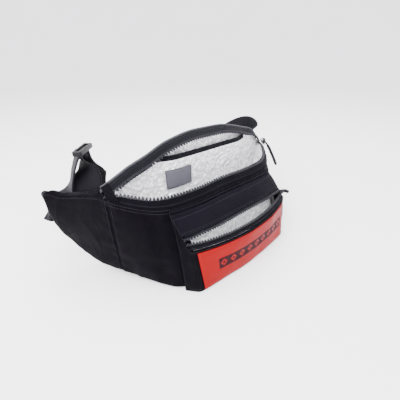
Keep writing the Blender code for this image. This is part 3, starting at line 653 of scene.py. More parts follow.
def unwrap(values, column, columns, across):
    """Keep the last strip of a closed grid from running back over its whole map."""
    values = values.copy()
    faces = column.reshape(-1, 4)
    wraps = (faces.max(axis=1) == columns - 1) & (faces.min(axis=1) == 0)
    step = float(np.mean(across[:, -1] - across[:, -2]))
    again = values.reshape(-1, 4, 2)
    edge = again[wraps, :, 1]
    edge[faces[wraps] == 0] = float(np.mean(across[:, -1])) + step
    again[wraps, :, 1] = edge
    return again.reshape(-1, 2)


def from_bmesh(name, shape, material=None, smooth=True):
    """An object from a bmesh, which is freed."""
    mesh = bpy.data.meshes.new(name)
    shape.to_mesh(mesh)
    shape.free()
    if smooth:
        mesh.shade_smooth()
    return link(name, mesh, material)


def ring_faces(rows, sides):
    """Faces between closed rings of points, one ring after the other."""
    faces = []
    for row in range(rows - 1):
        for step in range(sides):
            after = (step + 1) % sides
            faces.append((row * sides + step, (row + 1) * sides + step,
                          (row + 1) * sides + after, row * sides + after))
    return faces


def solid(name, parts, material, bevel):
    """One piece from several prisms: each is an outline, a low and a high level and a matrix."""
    shape = bmesh.new()
    for outline, low, high, matrix in parts:
        ring = [shape.verts.new(matrix @ Vector((x, y, low))) for x, y in outline]
        bottom = shape.faces.new(ring)
        grown = bmesh.ops.extrude_face_region(shape, geom=[bottom])
        lift = matrix.to_3x3() @ Vector((0, 0, high - low))
        top = [part for part in grown["geom"] if isinstance(part, bmesh.types.BMVert)]
        bmesh.ops.translate(shape, verts=top, vec=lift)
    bmesh.ops.recalc_face_normals(shape, faces=shape.faces)
    item = from_bmesh(name, shape, material)
    edge = item.modifiers.new("edge", "BEVEL")
    edge.width = bevel
    edge.segments = BEVEL_SEGMENTS
    edge.limit_method = "ANGLE"
    edge.angle_limit = math.radians(BEVEL_ANGLE)
    edge.harden_normals = True
    return item


def rounded_box(width, height, radius, count=6):
    """Outline of a rectangle with round corners."""
    points = []
    for step in range(4):
        turn = math.pi / 2 * step
        x = (width / 2 - radius) * (1 if step in (0, 3) else -1)
        y = (height / 2 - radius) * (1 if step in (0, 1) else -1)
        for part in range(count + 1):
            angle = turn + math.pi / 2 * part / count
            points.append((x + radius * math.cos(angle), y + radius * math.sin(angle)))
    return points


def frame_matrix(middle, along, up):
    """Matrix from a piece's own axes to the bag's, X along it and Z near its up direction."""
    first = unit(np.array(along, float))
    second = unit(np.cross(np.array(up, float), first))
    third = np.cross(first, second)
    matrix = Matrix.Identity(4)
    for row in range(3):
        matrix[row][0], matrix[row][1], matrix[row][2] = first[row], second[row], third[row]
        matrix[row][3] = middle[row]
    return matrix


def tube(name, points, radius, material, sides, radii=None):
    """A round bar along a line of points, closed at both ends."""
    points = np.array(points, float)
    ways = np.gradient(points, axis=0)
    ways /= np.linalg.norm(ways, axis=1, keepdims=True)
    side = np.cross(ways[0], UP if abs(ways[0][2]) < 0.9 else np.array((1.0, 0.0, 0.0)))
    grid = []
    for step, (point, way) in enumerate(zip(points, ways)):
        side = unit(side - way * (side @ way))
        up = np.cross(side, way)
        size = radius if radii is None else radii[step]
        turns = np.linspace(0, 2 * np.pi, sides, endpoint=False)
        grid.append([point + (side * math.cos(turn) + up * math.sin(turn)) * size
                     for turn in turns])
    faces = ring_faces(len(grid), sides)
    faces.append(tuple(range(sides)))
    faces.append(tuple((len(grid) - 1) * sides + step for step in reversed(range(sides))))
    mesh = bpy.data.meshes.new(name)
    mesh.from_pydata(np.array(grid).reshape(-1, 3).tolist(), [], faces)
    shape = bmesh.new()
    shape.from_mesh(mesh)
    bpy.data.meshes.remove(mesh)
    bmesh.ops.recalc_face_normals(shape, faces=shape.faces)
    return from_bmesh(name, shape, material)


# Shader building


def node(tree, kind, feeds=None, **settings):
    """One node, with its settings, and its inputs fed by sockets or plain values."""
    made = tree.nodes.new(kind)
    for key, value in settings.items():
        setattr(made, key, value)
    for key, value in (feeds or {}).items():
        if isinstance(value, bpy.types.NodeSocket):
            tree.links.new(value, made.inputs[key])
        else:
            made.inputs[key].default_value = value
    return made


def maths(tree, operation, *values, clamp=False):
    """Result of a maths node; each value is a socket or a number."""
    return node(tree, "ShaderNodeMath", dict(enumerate(values)),
                operation=operation, use_clamp=clamp).outputs[0]


def scale_by(tree, vector, amount):
    """A vector or a colour times a number."""
    return node(tree, "ShaderNodeVectorMath", {0: vector, "Scale": amount},
                operation="SCALE").outputs[0]


def add_vectors(tree, first, second):
    """Sum of two vectors or colours."""
    return node(tree, "ShaderNodeVectorMath", {0: first, 1: second}, operation="ADD").outputs[0]


def cloud(tree, place, scale, detail):
    """Soft noise at a place."""
    return node(tree, "ShaderNodeTexNoise", {"Vector": place, "Scale": scale, "Detail": detail})


def ridges(tree, value, rate):
    """Rounded ridges along a value."""
    return maths(tree, "ABSOLUTE", maths(tree, "SINE", maths(tree, "MULTIPLY", value, rate)))


def blend_colour(tree, factor, first, second):
    """The first colour where the factor is 0, and the second where it is 1."""
    mixed = node(tree, "ShaderNodeMix", {0: factor, 6: first, 7: second}, data_type="RGBA")
    return mixed.outputs[2]


def new_group(name, inputs, outputs):
    """An empty shader group with its sockets; each input is a name, a kind and a default."""
    tree = bpy.data.node_groups.new(name, "ShaderNodeTree")
    for label, kind, default in inputs:
        socket = tree.interface.new_socket(label, in_out="INPUT", socket_type=kind)
        if default is not None:
            socket.default_value = default
    for label, kind in outputs:
        tree.interface.new_socket(label, in_out="OUTPUT", socket_type=kind)
    return tree, node(tree, "NodeGroupInput"), node(tree, "NodeGroupOutput")


def weave_group():
    """Plain weave: threads that pass over and under each other."""
    tree, entry, leave = new_group(
        "plain_weave",
        (("Map", "NodeSocketVector", None), ("Threads", "NodeSocketFloat", 2000.0),
         ("Slack", "NodeSocketFloat", 0.12)),
        (("Height", "NodeSocketFloat"), ("Shade", "NodeSocketFloat")))
    drift = cloud(tree, entry.outputs["Map"], 160.0, 2.0)
    shift = node(tree, "ShaderNodeVectorMath", {0: drift.outputs["Color"], 1: (0.5, 0.5, 0.5)},
                 operation="SUBTRACT")
    place = add_vectors(tree, scale_by(tree, entry.outputs["Map"], entry.outputs["Threads"]),
                        scale_by(tree, shift.outputs[0], entry.outputs["Slack"]))
    split = node(tree, "ShaderNodeSeparateXYZ", {0: place})
    warp = ridges(tree, split.outputs[0], math.pi)
    weft = ridges(tree, split.outputs[1], math.pi)
    turn = node(tree, "ShaderNodeTexChecker", {"Vector": place, "Scale": 1.0})
    height = node(tree, "ShaderNodeMix", {0: turn.outputs["Fac"], 2: warp, 3: weft}).outputs[0]
    tree.links.new(height, leave.inputs["Height"])
    tree.links.new(maths(tree, "MULTIPLY_ADD", height, 0.35, 0.72), leave.inputs["Shade"])
    return tree


def crinkle_group():
    """Crumpled film: flat facets that meet in fine ridges, and a mask along the ridges for painted
    shade.
    """
    tree, entry, leave = new_group(
        "crinkled_film",
        (("Map", "NodeSocketVector", None), ("Fineness", "NodeSocketFloat", 110.0)),
        (("Height", "NodeSocketFloat"), ("Crease shade", "NodeSocketFloat")))
    bent = cloud(tree, entry.outputs["Map"], 60.0, 3.0)
    push = scale_by(tree, bent.outputs["Color"], 0.010)
    place = add_vectors(tree, entry.outputs["Map"], push)
    fine = entry.outputs["Fineness"]
    facets, tilt = [
        node(tree, "ShaderNodeTexVoronoi", {"Vector": place, "Scale": scale},
             feature="DISTANCE_TO_EDGE").outputs["Distance"]
        for scale in (fine, maths(tree, "MULTIPLY", fine, 0.45))]
    both = maths(tree, "ADD", facets, maths(tree, "MULTIPLY", tilt, 1.6))
    tree.links.new(both, leave.inputs["Height"])
    crease_shade = maths(tree, "SUBTRACT", 1.0, maths(tree, "MULTIPLY", facets, 6.0), clamp=True)
    tree.links.new(crease_shade, leave.inputs["Crease shade"])
    return tree


def patina_group():
    """Slow unevenness of colour, and fine lint that lies on cloth."""
    tree, entry, leave = new_group(
        "patina",
        (("Colour", "NodeSocketColor", (0.5, 0.5, 0.5, 1.0)), ("Spread", "NodeSocketFloat", 0.25),
         ("Lint", "NodeSocketFloat", 0.04)),
        (("Colour", "NodeSocketColor"), ("Mask", "NodeSocketFloat")))
    where = node(tree, "ShaderNodeTexCoord").outputs["Object"]
    slow = cloud(tree, where, 26.0, 4.0)
    slow.inputs["Roughness"].default_value = 0.6
    fine = cloud(tree, where, 900.0, 2.0)
    amount = maths(tree, "MULTIPLY", maths(tree, "SUBTRACT", slow.outputs["Fac"], 0.5),
                   entry.outputs["Spread"])
    level = maths(tree, "ADD", 1.0, amount)
    lint = maths(tree, "MULTIPLY", maths(tree, "SUBTRACT", fine.outputs["Fac"], 0.62, clamp=True),
                 entry.outputs["Lint"])
    dusty = add_vectors(tree, scale_by(tree, entry.outputs["Colour"], level), lint)
    tree.links.new(dusty, leave.inputs["Colour"])
    tree.links.new(slow.outputs["Fac"], leave.inputs["Mask"])
    return tree


def group(tree, name, feeds):
    """A node that holds one of the groups above."""
    return node(tree, "ShaderNodeGroup", feeds, node_tree=bpy.data.node_groups[name])


def aged(tree, colour, spread, lint=0.0):
    """An uneven colour and the mask of its unevenness."""
    patina = group(tree, "patina", {"Colour": (*colour, 1.0), "Spread": spread, "Lint": lint})
    return patina.outputs["Colour"], patina.outputs["Mask"]


def start_material(name, roughness, metallic=0.0, sheen=0.0, specular=0.5):
    """A new finish, its node tree and its main shader."""
    material = bpy.data.materials.new(name + FINISH)
    material.use_nodes = True
    tree = material.node_tree
    shader = tree.nodes["Principled BSDF"]
    for label, value in (("Roughness", roughness), ("Metallic", metallic),
                         ("Sheen Weight", sheen), ("Sheen Roughness", SHEEN_ROUGHNESS),
                         ("Specular IOR Level", specular)):
        shader.inputs[label].default_value = value
    return material, tree, shader


def paint(tree, shader, colour):
    """Feed a colour to the main shader."""
    tree.links.new(colour, shader.inputs["Base Color"])


def roughen(tree, shader, mask, low, spread):
    """Let the roughness follow a mask, from a low value up."""
    tree.links.new(maths(tree, "MULTIPLY_ADD", mask, spread, low), shader.inputs["Roughness"])


def cloth_map(tree):
    """Place on the piece's cloth map, in metres along and across it."""
    return node(tree, "ShaderNodeUVMap", uv_map=CLOTH_UV).outputs[0]


def relief(tree, shader, height, distance, strength=1.0):
    """Feed a height in and let the surface stand out by a distance."""
    bump = node(tree, "ShaderNodeBump",
                {"Height": height, "Distance": distance, "Strength": strength})
    tree.links.new(bump.outputs[0], shader.inputs["Normal"])


def cloth_material(name, colour, threads, roughness=0.55, sheen=0.0, depth=0.00018, spread=0.5,
                   lint=0.001, specular=0.03):
    """Woven cloth on the piece's own cloth map."""
    material, tree, shader = start_material(name, roughness, sheen=sheen, specular=specular)
    weave = group(tree, "plain_weave", {"Map": cloth_map(tree), "Threads": threads})
    worn, mask = aged(tree, colour, spread, lint)
    paint(tree, shader, scale_by(tree, worn, weave.outputs["Shade"]))
    roughen(tree, shader, mask, roughness - 0.08, 0.16)
    relief(tree, shader, weave.outputs["Height"], depth)
    return material


def foil_material(name, colour, metallic, roughness):
    """Silver film with fine crinkles, darkened along its creases as painted shade."""
    material, tree, shader = start_material(name, roughness, metallic=metallic)
    crinkle = group(tree, "crinkled_film", {"Map": cloth_map(tree), "Fineness": FOIL_FINENESS})
    worn, mask = aged(tree, colour, 0.18)
    # Painted shade: the foil's colour is darkened towards 0.62 of itself along its creases.
    dark = scale_by(tree, worn, 0.62)
    factor = maths(tree, "MULTIPLY", crinkle.outputs["Crease shade"], 0.8)
    paint(tree, shader, blend_colour(tree, factor, worn, dark))
    roughen(tree, shader, mask, roughness - 0.12, 0.25)
    relief(tree, shader, crinkle.outputs["Height"], FOIL_RELIEF)
    return material


def webbing_material(name, colour):
    """Webbing with raised ribs across and fine threads along it."""
    material, tree, shader = start_material(name, 0.6, sheen=0.02, specular=0.10)
    split = node(tree, "ShaderNodeSeparateXYZ", {0: cloth_map(tree)})
    ribs = ridges(tree, split.outputs[0], WEBBING_RIBS)
    height = maths(tree, "MULTIPLY_ADD", ridges(tree, split.outputs[1], WEBBING_THREADS), 0.45,
                   ribs)
    worn, _ = aged(tree, colour, 0.4, 0.005)
    shade = maths(tree, "MULTIPLY_ADD", height, 0.3, 0.68)
    paint(tree, shader, scale_by(tree, worn, shade))
    relief(tree, shader, height, 0.00035)
    return material


def plastic_material(name, colour, roughness):
    """Moulded plastic with a fine grain."""
    material, tree, shader = start_material(name, roughness, specular=0.14)
    where = node(tree, "ShaderNodeTexCoord").outputs["Object"]
    grain = cloud(tree, where, 2400.0, 2.0)
    worn, mask = aged(tree, colour, 0.3, 0.003)
    paint(tree, shader, worn)
    roughen(tree, shader, mask, roughness - 0.1, 0.2)
    relief(tree, shader, grain.outputs["Fac"], 0.00012, 0.6)
    return material


def leather_material(name, colour):
    """Small-grained leather with a pressed line inside its edge."""
    material, tree, shader = start_material(name, 0.55, specular=0.25)
    place = cloth_map(tree)
    cells = node(tree, "ShaderNodeTexVoronoi", {"Vector": place, "Scale": 900.0},
                 feature="DISTANCE_TO_EDGE")
    worn, _ = aged(tree, colour, 0.35)
    split = node(tree, "ShaderNodeSeparateXYZ", {0: place})
    along = maths(tree, "ABSOLUTE", maths(tree, "SUBTRACT", split.outputs[0], LABEL_WIDTH / 2))
    across = maths(tree, "ABSOLUTE", split.outputs[1])
    inside = maths(tree, "MINIMUM", maths(tree, "SUBTRACT", LABEL_WIDTH / 2, along),
                   maths(tree, "SUBTRACT", LABEL_HEIGHT / 2, across))
    edge = maths(tree, "LESS_THAN", inside, LABEL_EDGE)
    dark = scale_by(tree, worn, 0.35)
    paint(tree, shader, blend_colour(tree, edge, worn, dark))
    line = maths(tree, "COMPARE", inside, LABEL_LINE, LABEL_LINE_WIDTH)
    height = maths(tree, "SUBTRACT", maths(tree, "MULTIPLY", cells.outputs["Distance"], 0.8), line)
    relief(tree, shader, height, 0.0003, 0.7)
    return material


def film_material(name, colour, dark):
    """Smooth coated cloth, with a dark band that holds a row of lozenges."""
    material, tree, shader = start_material(name, 0.42, specular=0.05)
    place = cloth_map(tree)
    split = node(tree, "ShaderNodeSeparateXYZ", {0: place})
    along = maths(tree, "SUBTRACT", split.outputs[0], PATCH_WIDTH / 2 + BAND_SHIFT)
    across = maths(tree, "SUBTRACT", split.outputs[1], BAND_RISE)
    in_length = maths(tree, "LESS_THAN", maths(tree, "ABSOLUTE", along), BAND_LENGTH / 2)
    in_height = maths(tree, "LESS_THAN", maths(tree, "ABSOLUTE", across), BAND_HEIGHT / 2)
    band = maths(tree, "MULTIPLY", in_length, in_height)
    pitch = BAND_LENGTH / BAND_LOZENGES
    steps = maths(tree, "DIVIDE", maths(tree, "ADD", along, BAND_LENGTH / 2), pitch)
    cell = maths(tree, "SUBTRACT", maths(tree, "FRACT", steps), 0.5)
    reach = maths(tree, "ADD",
                  maths(tree, "MULTIPLY", maths(tree, "ABSOLUTE", cell), LOZENGE_SLOPE),
                  maths(tree, "MULTIPLY", maths(tree, "ABSOLUTE", across),
                        LOZENGE_SLOPE / BAND_HEIGHT))
    lozenge = maths(tree, "LESS_THAN", reach, 1.0)
    hole = maths(tree, "LESS_THAN", reach, LOZENGE_HOLE)
    mark = maths(tree, "SUBTRACT", lozenge, hole)
    printed = maths(tree, "SUBTRACT", band, mark, clamp=True)
    worn, _ = aged(tree, colour, 0.16)
    paint(tree, shader, blend_colour(tree, maths(tree, "MULTIPLY", printed, 0.94),
                                     worn, (*dark, 1.0)))
    weave = group(tree, "plain_weave", {"Map": place, "Threads": FILM_THREADS})
    roughen(tree, shader, printed, 0.40, 0.18)
    height = maths(tree, "MULTIPLY_ADD", weave.outputs["Height"], 0.35, printed)
    relief(tree, shader, height, 0.00012, 0.6)
    return material


def floor_material(name, colour):
    """Pale floor, hardly uneven."""
    material, tree, shader = start_material(name, 0.85, specular=0.2)
    where = node(tree, "ShaderNodeTexCoord").outputs["Object"]
    soft = cloud(tree, where, 2.0, 1.0)
    level = maths(tree, "MULTIPLY_ADD", soft.outputs["Fac"], 0.03, 0.985)
    paint(tree, shader, scale_by(tree, tuple(colour), level))
    return material


def make_materials():
    """All finishes, from the colours of the settings."""
    colours = bpy.context.scene.bag_colours
    weave_group()
    crinkle_group()
    patina_group()
    cloth_material("black_nylon", colours.nylon, CLOTH_THREADS)
    # Painted light: the pocket's sloping top and its welt get a lighter copy of the black nylon,
    # for the light on the upward slope.
    cloth_material("lit_pocket_top_nylon", colours.lit_pocket_top, CLOTH_THREADS, roughness=0.58)
    foil_material("silver_foil", colours.foil, 0.22, 0.32)
    foil_material("pocket_foil", colours.pocket_foil, 0.25, 0.34)
    cloth_material("zip_tape", colours.tape, TAPE_THREADS, roughness=0.6, depth=0.00025)
    # Painted light: the rear tape and the binding get a lighter copy of the tape's colour, for the
    # light that falls on the rear tape.
    cloth_material("rear_zip_tape", colours.lit_rear_tape, TAPE_THREADS, roughness=0.55, sheen=0.02,
                   depth=0.00025)
    plastic_material("zip_teeth", colours.teeth, 0.42)
    plastic_material("black_plastic", colours.plastic, 0.38)
    plastic_material("thread", colours.thread, 0.6)
    plastic_material("label_thread", colours.label_thread, 0.6)
    webbing_material("webbing", colours.webbing)
    # Painted highlight: the rolled rim's black cloth gets a grey colour for the sheen along its
    # edge.
    webbing_material("piping", colours.piping)
    leather_material("grey_leather", colours.leather)
    film_material("red_film", colours.red, colours.band)
    plastic_material("patch_thread", colours.patch_thread, 0.6)


def finish(name):
    """One of the materials above by its plain name."""
    return bpy.data.materials[name + FINISH]


# Shapes laid along a line


def path_tree():
    """Copies of a shape along a line, each turned to the line and to the way it points."""
    tree = bpy.data.node_groups.new("shapes_along_a_line", "GeometryNodeTree")
    sockets = (("Line", "NodeSocketGeometry"), ("Shape", "NodeSocketObject"),
               ("Spacing", "NodeSocketFloat"), ("Looseness", "NodeSocketFloat"),
               ("Seed", "NodeSocketInt"), ("Finish", "NodeSocketMaterial"))
    for label, kind in sockets:
        tree.interface.new_socket(label, in_out="INPUT", socket_type=kind)
    tree.interface.new_socket("Shapes", in_out="OUTPUT", socket_type="NodeSocketGeometry")
    entry = node(tree, "NodeGroupInput")
    leave = node(tree, "NodeGroupOutput")
    curve = node(tree, "GeometryNodeMeshToCurve", {"Mesh": entry.outputs["Line"]})
    points = node(tree, "GeometryNodeResampleCurve",
                  {"Curve": curve.outputs[0], "Length": entry.outputs["Spacing"]}, mode="LENGTH")
    line = node(tree, "GeometryNodeInputTangent")
    way = node(tree, "GeometryNodeInputNamedAttribute", {"Name": "way"}, data_type="FLOAT_VECTOR")
    first = node(tree, "FunctionNodeAlignRotationToVector", {"Vector": line.outputs[0]}, axis="X")
    second = node(tree, "FunctionNodeAlignRotationToVector",
                  {"Rotation": first.outputs[0], "Vector": way.outputs[0]},
                  axis="Y", pivot_axis="X")
    low = maths(tree, "MULTIPLY", entry.outputs["Looseness"], -1.0)
    chance = node(tree, "FunctionNodeRandomValue",
                  {0: low, 1: entry.outputs["Looseness"], "Seed": entry.outputs["Seed"]},
                  data_type="FLOAT_VECTOR")
    loose = node(tree, "FunctionNodeEulerToRotation", {0: chance.outputs[0]})
    turned = node(tree, "FunctionNodeRotateRotation",
                  {0: second.outputs[0], 1: loose.outputs[0]}, rotation_space="LOCAL")
    shape = node(tree, "GeometryNodeObjectInfo", {"Object": entry.outputs["Shape"]})
    placed = node(tree, "GeometryNodeInstanceOnPoints",
                  {"Points": points.outputs[0], "Instance": shape.outputs["Geometry"],
                   "Rotation": turned.outputs[0]})
    real = node(tree, "GeometryNodeRealizeInstances", {0: placed.outputs[0]})
    painted = node(tree, "GeometryNodeSetMaterial",
                   {"Geometry": real.outputs[0], "Material": entry.outputs["Finish"]})
    tree.links.new(painted.outputs[0], leave.inputs[0])
    return tree


def lay(name, lines, shape, spacing, material, looseness, seed):
    """Lay a shape along lines; each line is a list of points and one of ways, as arrays."""
    points, ways, edges = [], [], []
    for line, way in lines:
        first = len(points)
        points.extend(np.asarray(line).tolist())
        ways.extend(np.asarray(way).tolist())
        edges.extend((first + step, first + step + 1) for step in range(len(line) - 1))
    mesh = bpy.data.meshes.new(name + "_line")
    mesh.from_pydata(points, edges, [])
    store = mesh.attributes.new("way", "FLOAT_VECTOR", "POINT")
    store.data.foreach_set("vector", np.array(ways, float).ravel())
    carrier = link(name + "_line", mesh)
    tree = bpy.data.node_groups.get("shapes_along_a_line") or path_tree()
    maker = carrier.modifiers.new("shapes", "NODES")
    maker.node_group = tree
    values = {"Shape": shape, "Spacing": spacing, "Looseness": looseness, "Seed": seed,
              "Finish": material}
    for item in tree.interface.items_tree:
        if item.item_type == "SOCKET" and item.in_out == "INPUT" and item.name in values:
            maker[item.identifier] = values[item.name]
    bpy.context.view_layer.update()
    graph = bpy.context.evaluated_depsgraph_get()
    made = bpy.data.meshes.new_from_object(carrier.evaluated_get(graph), depsgraph=graph)
    made.name = name
    bpy.data.objects.remove(carrier)
    if len(made.polygons) == 0:
        raise RuntimeError(name + " came out empty")
    return link(name, made)


def tooth_shape(name, pitch, reach, thickness):
    """A moulded zip tooth: a foot on the tape, a neck and a head, thinner at its far end."""
    points = [(x * pitch, y * reach) for x, y in TOOTH_OUTLINE]
    furthest = max(y for _, y in points)
    halves = [thickness / 2 * (1 - (1 - TOOTH_TAPER) * max(0.0, y / furthest)) for _, y in points]
    shape = bmesh.new()
    bottom = [shape.verts.new((x, y, -half)) for (x, y), half in zip(points, halves)]
    top = [shape.verts.new((x, y, half)) for (x, y), half in zip(points, halves)]
    shape.faces.new(bottom[::-1])
    shape.faces.new(top)
    for step in range(len(points)):
        after = (step + 1) % len(points)
        shape.faces.new((bottom[step], bottom[after], top[after], top[step]))
    bmesh.ops.recalc_face_normals(shape, faces=shape.faces)
    bmesh.ops.bevel(shape, geom=shape.edges[:], offset=thickness * TOOTH_ROUNDING, segments=1,
                    affect="EDGES")
    return from_bmesh(name, shape, smooth=False)


def stitch_shape(name, length, width):
    """One stitch of thread, rounded at both ends and a little sunk."""
    shape = bmesh.new()
    bmesh.ops.create_uvsphere(shape, u_segments=6, v_segments=4, radius=0.5)
    for vertex in shape.verts:
        x, y, z = vertex.co
        vertex.co = (z * length, y * width, x * width * STITCH_FLATNESS)
    return from_bmesh(name, shape)


def stitches(name, lines, slot, material="thread", length=0.0024, width=0.0006, spacing=0.0034,
             seed=3):
    """Rows of stitches; each line is a list of points and one of the cloth's normals."""
    shape = stitch_shape(name + "_stitch", length, width)
    turned = []
    for line, normal in lines:
        line, normal = np.asarray(line), np.asarray(normal)
        ways = np.cross(np.gradient(line, axis=0), normal)
        ways /= np.maximum(np.linalg.norm(ways, axis=1, keepdims=True), 1e-12)
        turned.append((line + normal * width * STITCH_RISE, ways))
    item = lay(name, turned, shape, spacing, finish(material), STITCH_LOOSENESS, seed)
    bpy.data.objects.remove(shape)
    item.data.shade_smooth()
    return belongs(item, slot)


def row_line(grid, column):
    """A line along a grid's column, with the normals there; a share moves it to the next one."""
    low = int(math.floor(column))
    high = min(low + 1, grid.shape[1] - 1)
    share = column - low
    line = grid[:, low] * (1 - share) + grid[:, high] * share
    way = normals(grid)
    way = way[:, low] * (1 - share) + way[:, high] * share
    return line, way


def column_line(grid, row):
    """A line along a grid's row, with the normals there."""
    turned = np.swapaxes(grid, 0, 1)
    line, _ = row_line(turned, row)
    low = int(math.floor(row))
    way = normals(grid)[low]
    return line, way


# Main bag


def cloth_folds(grid, seed):
    """Soft dents and slanting folds of the bag's nylon."""
    settings = bpy.context.scene.bag_sizes
    soft = waves(grid, seed=seed, **CLOTH_DENTS)
    slant = waves(grid, seed=seed + 4.0, **CLOTH_SLANTS)
    lines = creases(grid, seed=seed + 8.0, **CLOTH_FOLDS)
    return settings.fold_depth * (0.75 * soft + 0.35 * slant + 0.45 * (lines - 0.35))


def front_grid():
    """The front wall, dented and puckered along its seams."""
    grid = body_grid()[:, :FRONT_SEAM + 1]
    along, across = spans(grid)
    from_foot = across[:, -1:] - across
    edge = margins(grid, SEAM_REACH)
    height = cloth_folds(grid, 0.0) * edge
    height += seam_pucker(from_foot, along)
    height += seam_pucker(across, along + RIM_PUCKER_SHIFT, reach=RIM_PUCKER_REACH)
    ends = np.minimum(along, along[-1:] - along)
    height += seam_pucker(ends, across, pitch=END_PUCKER_PITCH)
    sag = SIDE_DENT_SHARE * bpy.context.scene.bag_sizes.fold_depth
    beside = np.abs(np.abs(grid[:, :, 0]) - SIDE_DENT_PLACE)
    height -= sag * np.exp(-(beside / SIDE_DENT_WIDTH) ** 2) * edge
    deepest = LINING_SLACK * ease(from_foot / FOOT_REACH)
    return raised(grid, np.maximum(height, -deepest))


def back_grid():
    """The back wall, with dents that only stand outwards."""
    grid = body_grid()[:, BACK_SEAM:]
    along, across = spans(grid)
    height = np.maximum(cloth_folds(grid, 2.4), -SEAM_GAP) * margins(grid, SEAM_REACH)
    height += seam_pucker(across, along) + seam_pucker(across[:, -1:] - across, along)
    return raised(grid, height)


def bottom_grid():
    """The floor, dented only where it rises off the table."""
    grid = body_grid()[:, FRONT_SEAM:BACK_SEAM + 1]
    lift = np.clip(grid[:, :, 2] / FLOOR_SEAM_REACH, 0.0, 1.0)
    height = np.maximum(cloth_folds(grid, 5.1), -SEAM_GAP) * margins(grid, FLOOR_SEAM_REACH)
    return raised(grid, height * lift)


def make_shell():
    """Front, bottom and back panels with their seams."""
    half = SEAM_GAP / 2
    front = trim(front_grid(), end=half)
    bottom = trim(bottom_grid(), half, half)
    back = trim(back_grid(), start=half)
    for name, grid in (("front_panel", front), ("bottom_panel", bottom), ("back_panel", back)):
        belongs(sheet(name + "_cloth", grid, WALL, finish("black_nylon")), "black_nylon", name)
    front_last, back_last = front.shape[1] - 1, back.shape[1] - 1
    rows = [row_line(front, RIM_STITCH), row_line(front, RIM_SECOND_STITCH),
            row_line(back, SEAM_STITCH), row_line(back, back_last - RIM_STITCH),
            row_line(front, front_last - SEAM_STITCH)]
    for grid in (front, back):
        rows.append(column_line(grid, SEAM_STITCH_ROW))
        rows.append(column_line(grid, grid.shape[0] - 1 - SEAM_STITCH_ROW))
    stitches("shell_stitches", rows, "black_nylon")


def wing_grid(side):
    """A hollow sleeve from the wing seam to the tip, pinched and gathered at both ends."""
    row_length = HALF_LENGTH * (SECTIONS[7][0] - SECTIONS[6][0])
    start = WING_SEAM_ROW + SEAM_GAP / row_length
    rows = []
    for place in np.linspace(start, LAST_ROW, WING_STATIONS):
        line = section(side * place)
        turns = (np.arange(1, WING_TOP_POINTS + 1) / (WING_TOP_POINTS + 1))[:, None]
        ring = np.concatenate((line, line[-1] + (line[0] - line[-1]) * turns))
        near_tip = float(ease((place - TIP_ROUND_ROW) / (LAST_ROW - TIP_ROUND_ROW)))
        steps = range(-TIP_ROUND_STEPS, TIP_ROUND_STEPS + 1)
        soft = np.mean([np.roll(ring, step, axis=0) for step in steps], axis=0)
        rows.append(ring + (soft - ring) * near_tip)
    grid = np.array(rows)
    if side < 0:
        grid = grid[::-1]
    height = 0.9 * cloth_folds(grid, 7.7 + side)
    along, _ = spans(grid)
    seam = along if side > 0 else along[-1:] - along
    tip = along[-1:] - seam
    edge = ease(seam / SEAM_REACH) * ease(tip / TIP_SEAM_REACH)
    widths = np.cumsum(np.linalg.norm(np.diff(grid, axis=1, append=grid[:, :1]), axis=2), axis=1)
    height = height * edge + seam_pucker(seam, widths, pitch=WING_PUCKER_PITCH)
    height += 0.6 * seam_pucker(tip, widths, TIP_PUCKER_PITCH, TIP_PUCKER_REACH)
    return raised(grid, height)


def make_wings():
    """Both wings with a row of stitches at each end and along both walls."""
    for name, side in (("left_wing", -1.0), ("right_wing", 1.0)):
        grid = wing_grid(side)
        item = sheet(name + "_cloth", grid, WALL, finish("black_nylon"), closed=True)
        belongs(item, "black_nylon", name)
        seam_row, tip_row = (grid.shape[0] - 3, 2) if side < 0 else (2, grid.shape[0] - 3)
        rows = [column_line(grid, seam_row), column_line(grid, tip_row),
                row_line(grid, 2.5), row_line(grid, WALL_POINTS - 1.5)]
        stitches(name + "_stitches", rows, "black_nylon", seed=5)


def closed_ends(grid):
    """The lining with its two ends drawn in to an upright fold."""
    turns = ease(np.linspace(LINING_END_CLOSES, 0.0, LINING_END_STEPS))[:-1, None, None]
    result = []
    for row, outwards in ((grid[0], grid[0] - grid[2]), (grid[-1], grid[-1] - grid[-3])):
        fold = (row + row[::-1]) / 2
        way = outwards.mean(axis=0)
        swell = unit(way) * LINING_END_SWELL * np.sin(np.pi * turns / 2)
        result.append(row + (fold - row) * turns + swell)
    return np.concatenate((result[0], grid, result[1][::-1]))


def make_lining():
    """Foil that lines the main bag, crumpled, a little below both rims."""
    depth = bpy.context.scene.bag_sizes.crinkle_depth
    columns = np.arange(body_grid().shape[1])
    slack = LINING_SLACK * (1 - ease((columns - BACK_SEAM + WALL_POINTS / 4) / (WALL_POINTS / 4)))
    slack *= ease(columns / (WALL_POINTS / 4))
    grid = inset(body_grid(), (WALL + SEAM_GAP * 2 + slack)[None, :, None])
    grid = trim(grid, LINING_DROP, LINING_DROP)[LINING_SKIP:]
    grid = closed_ends(grid)
    inwards = -depth * crumple(grid, MAIN_CREASES) * margins(grid, FOIL_EDGE)
    item = sheet("main_lining_foil", raised(grid, inwards), FOIL, finish("silver_foil"))
    belongs(item, "silver_foil", "main_lining")


# Main zip


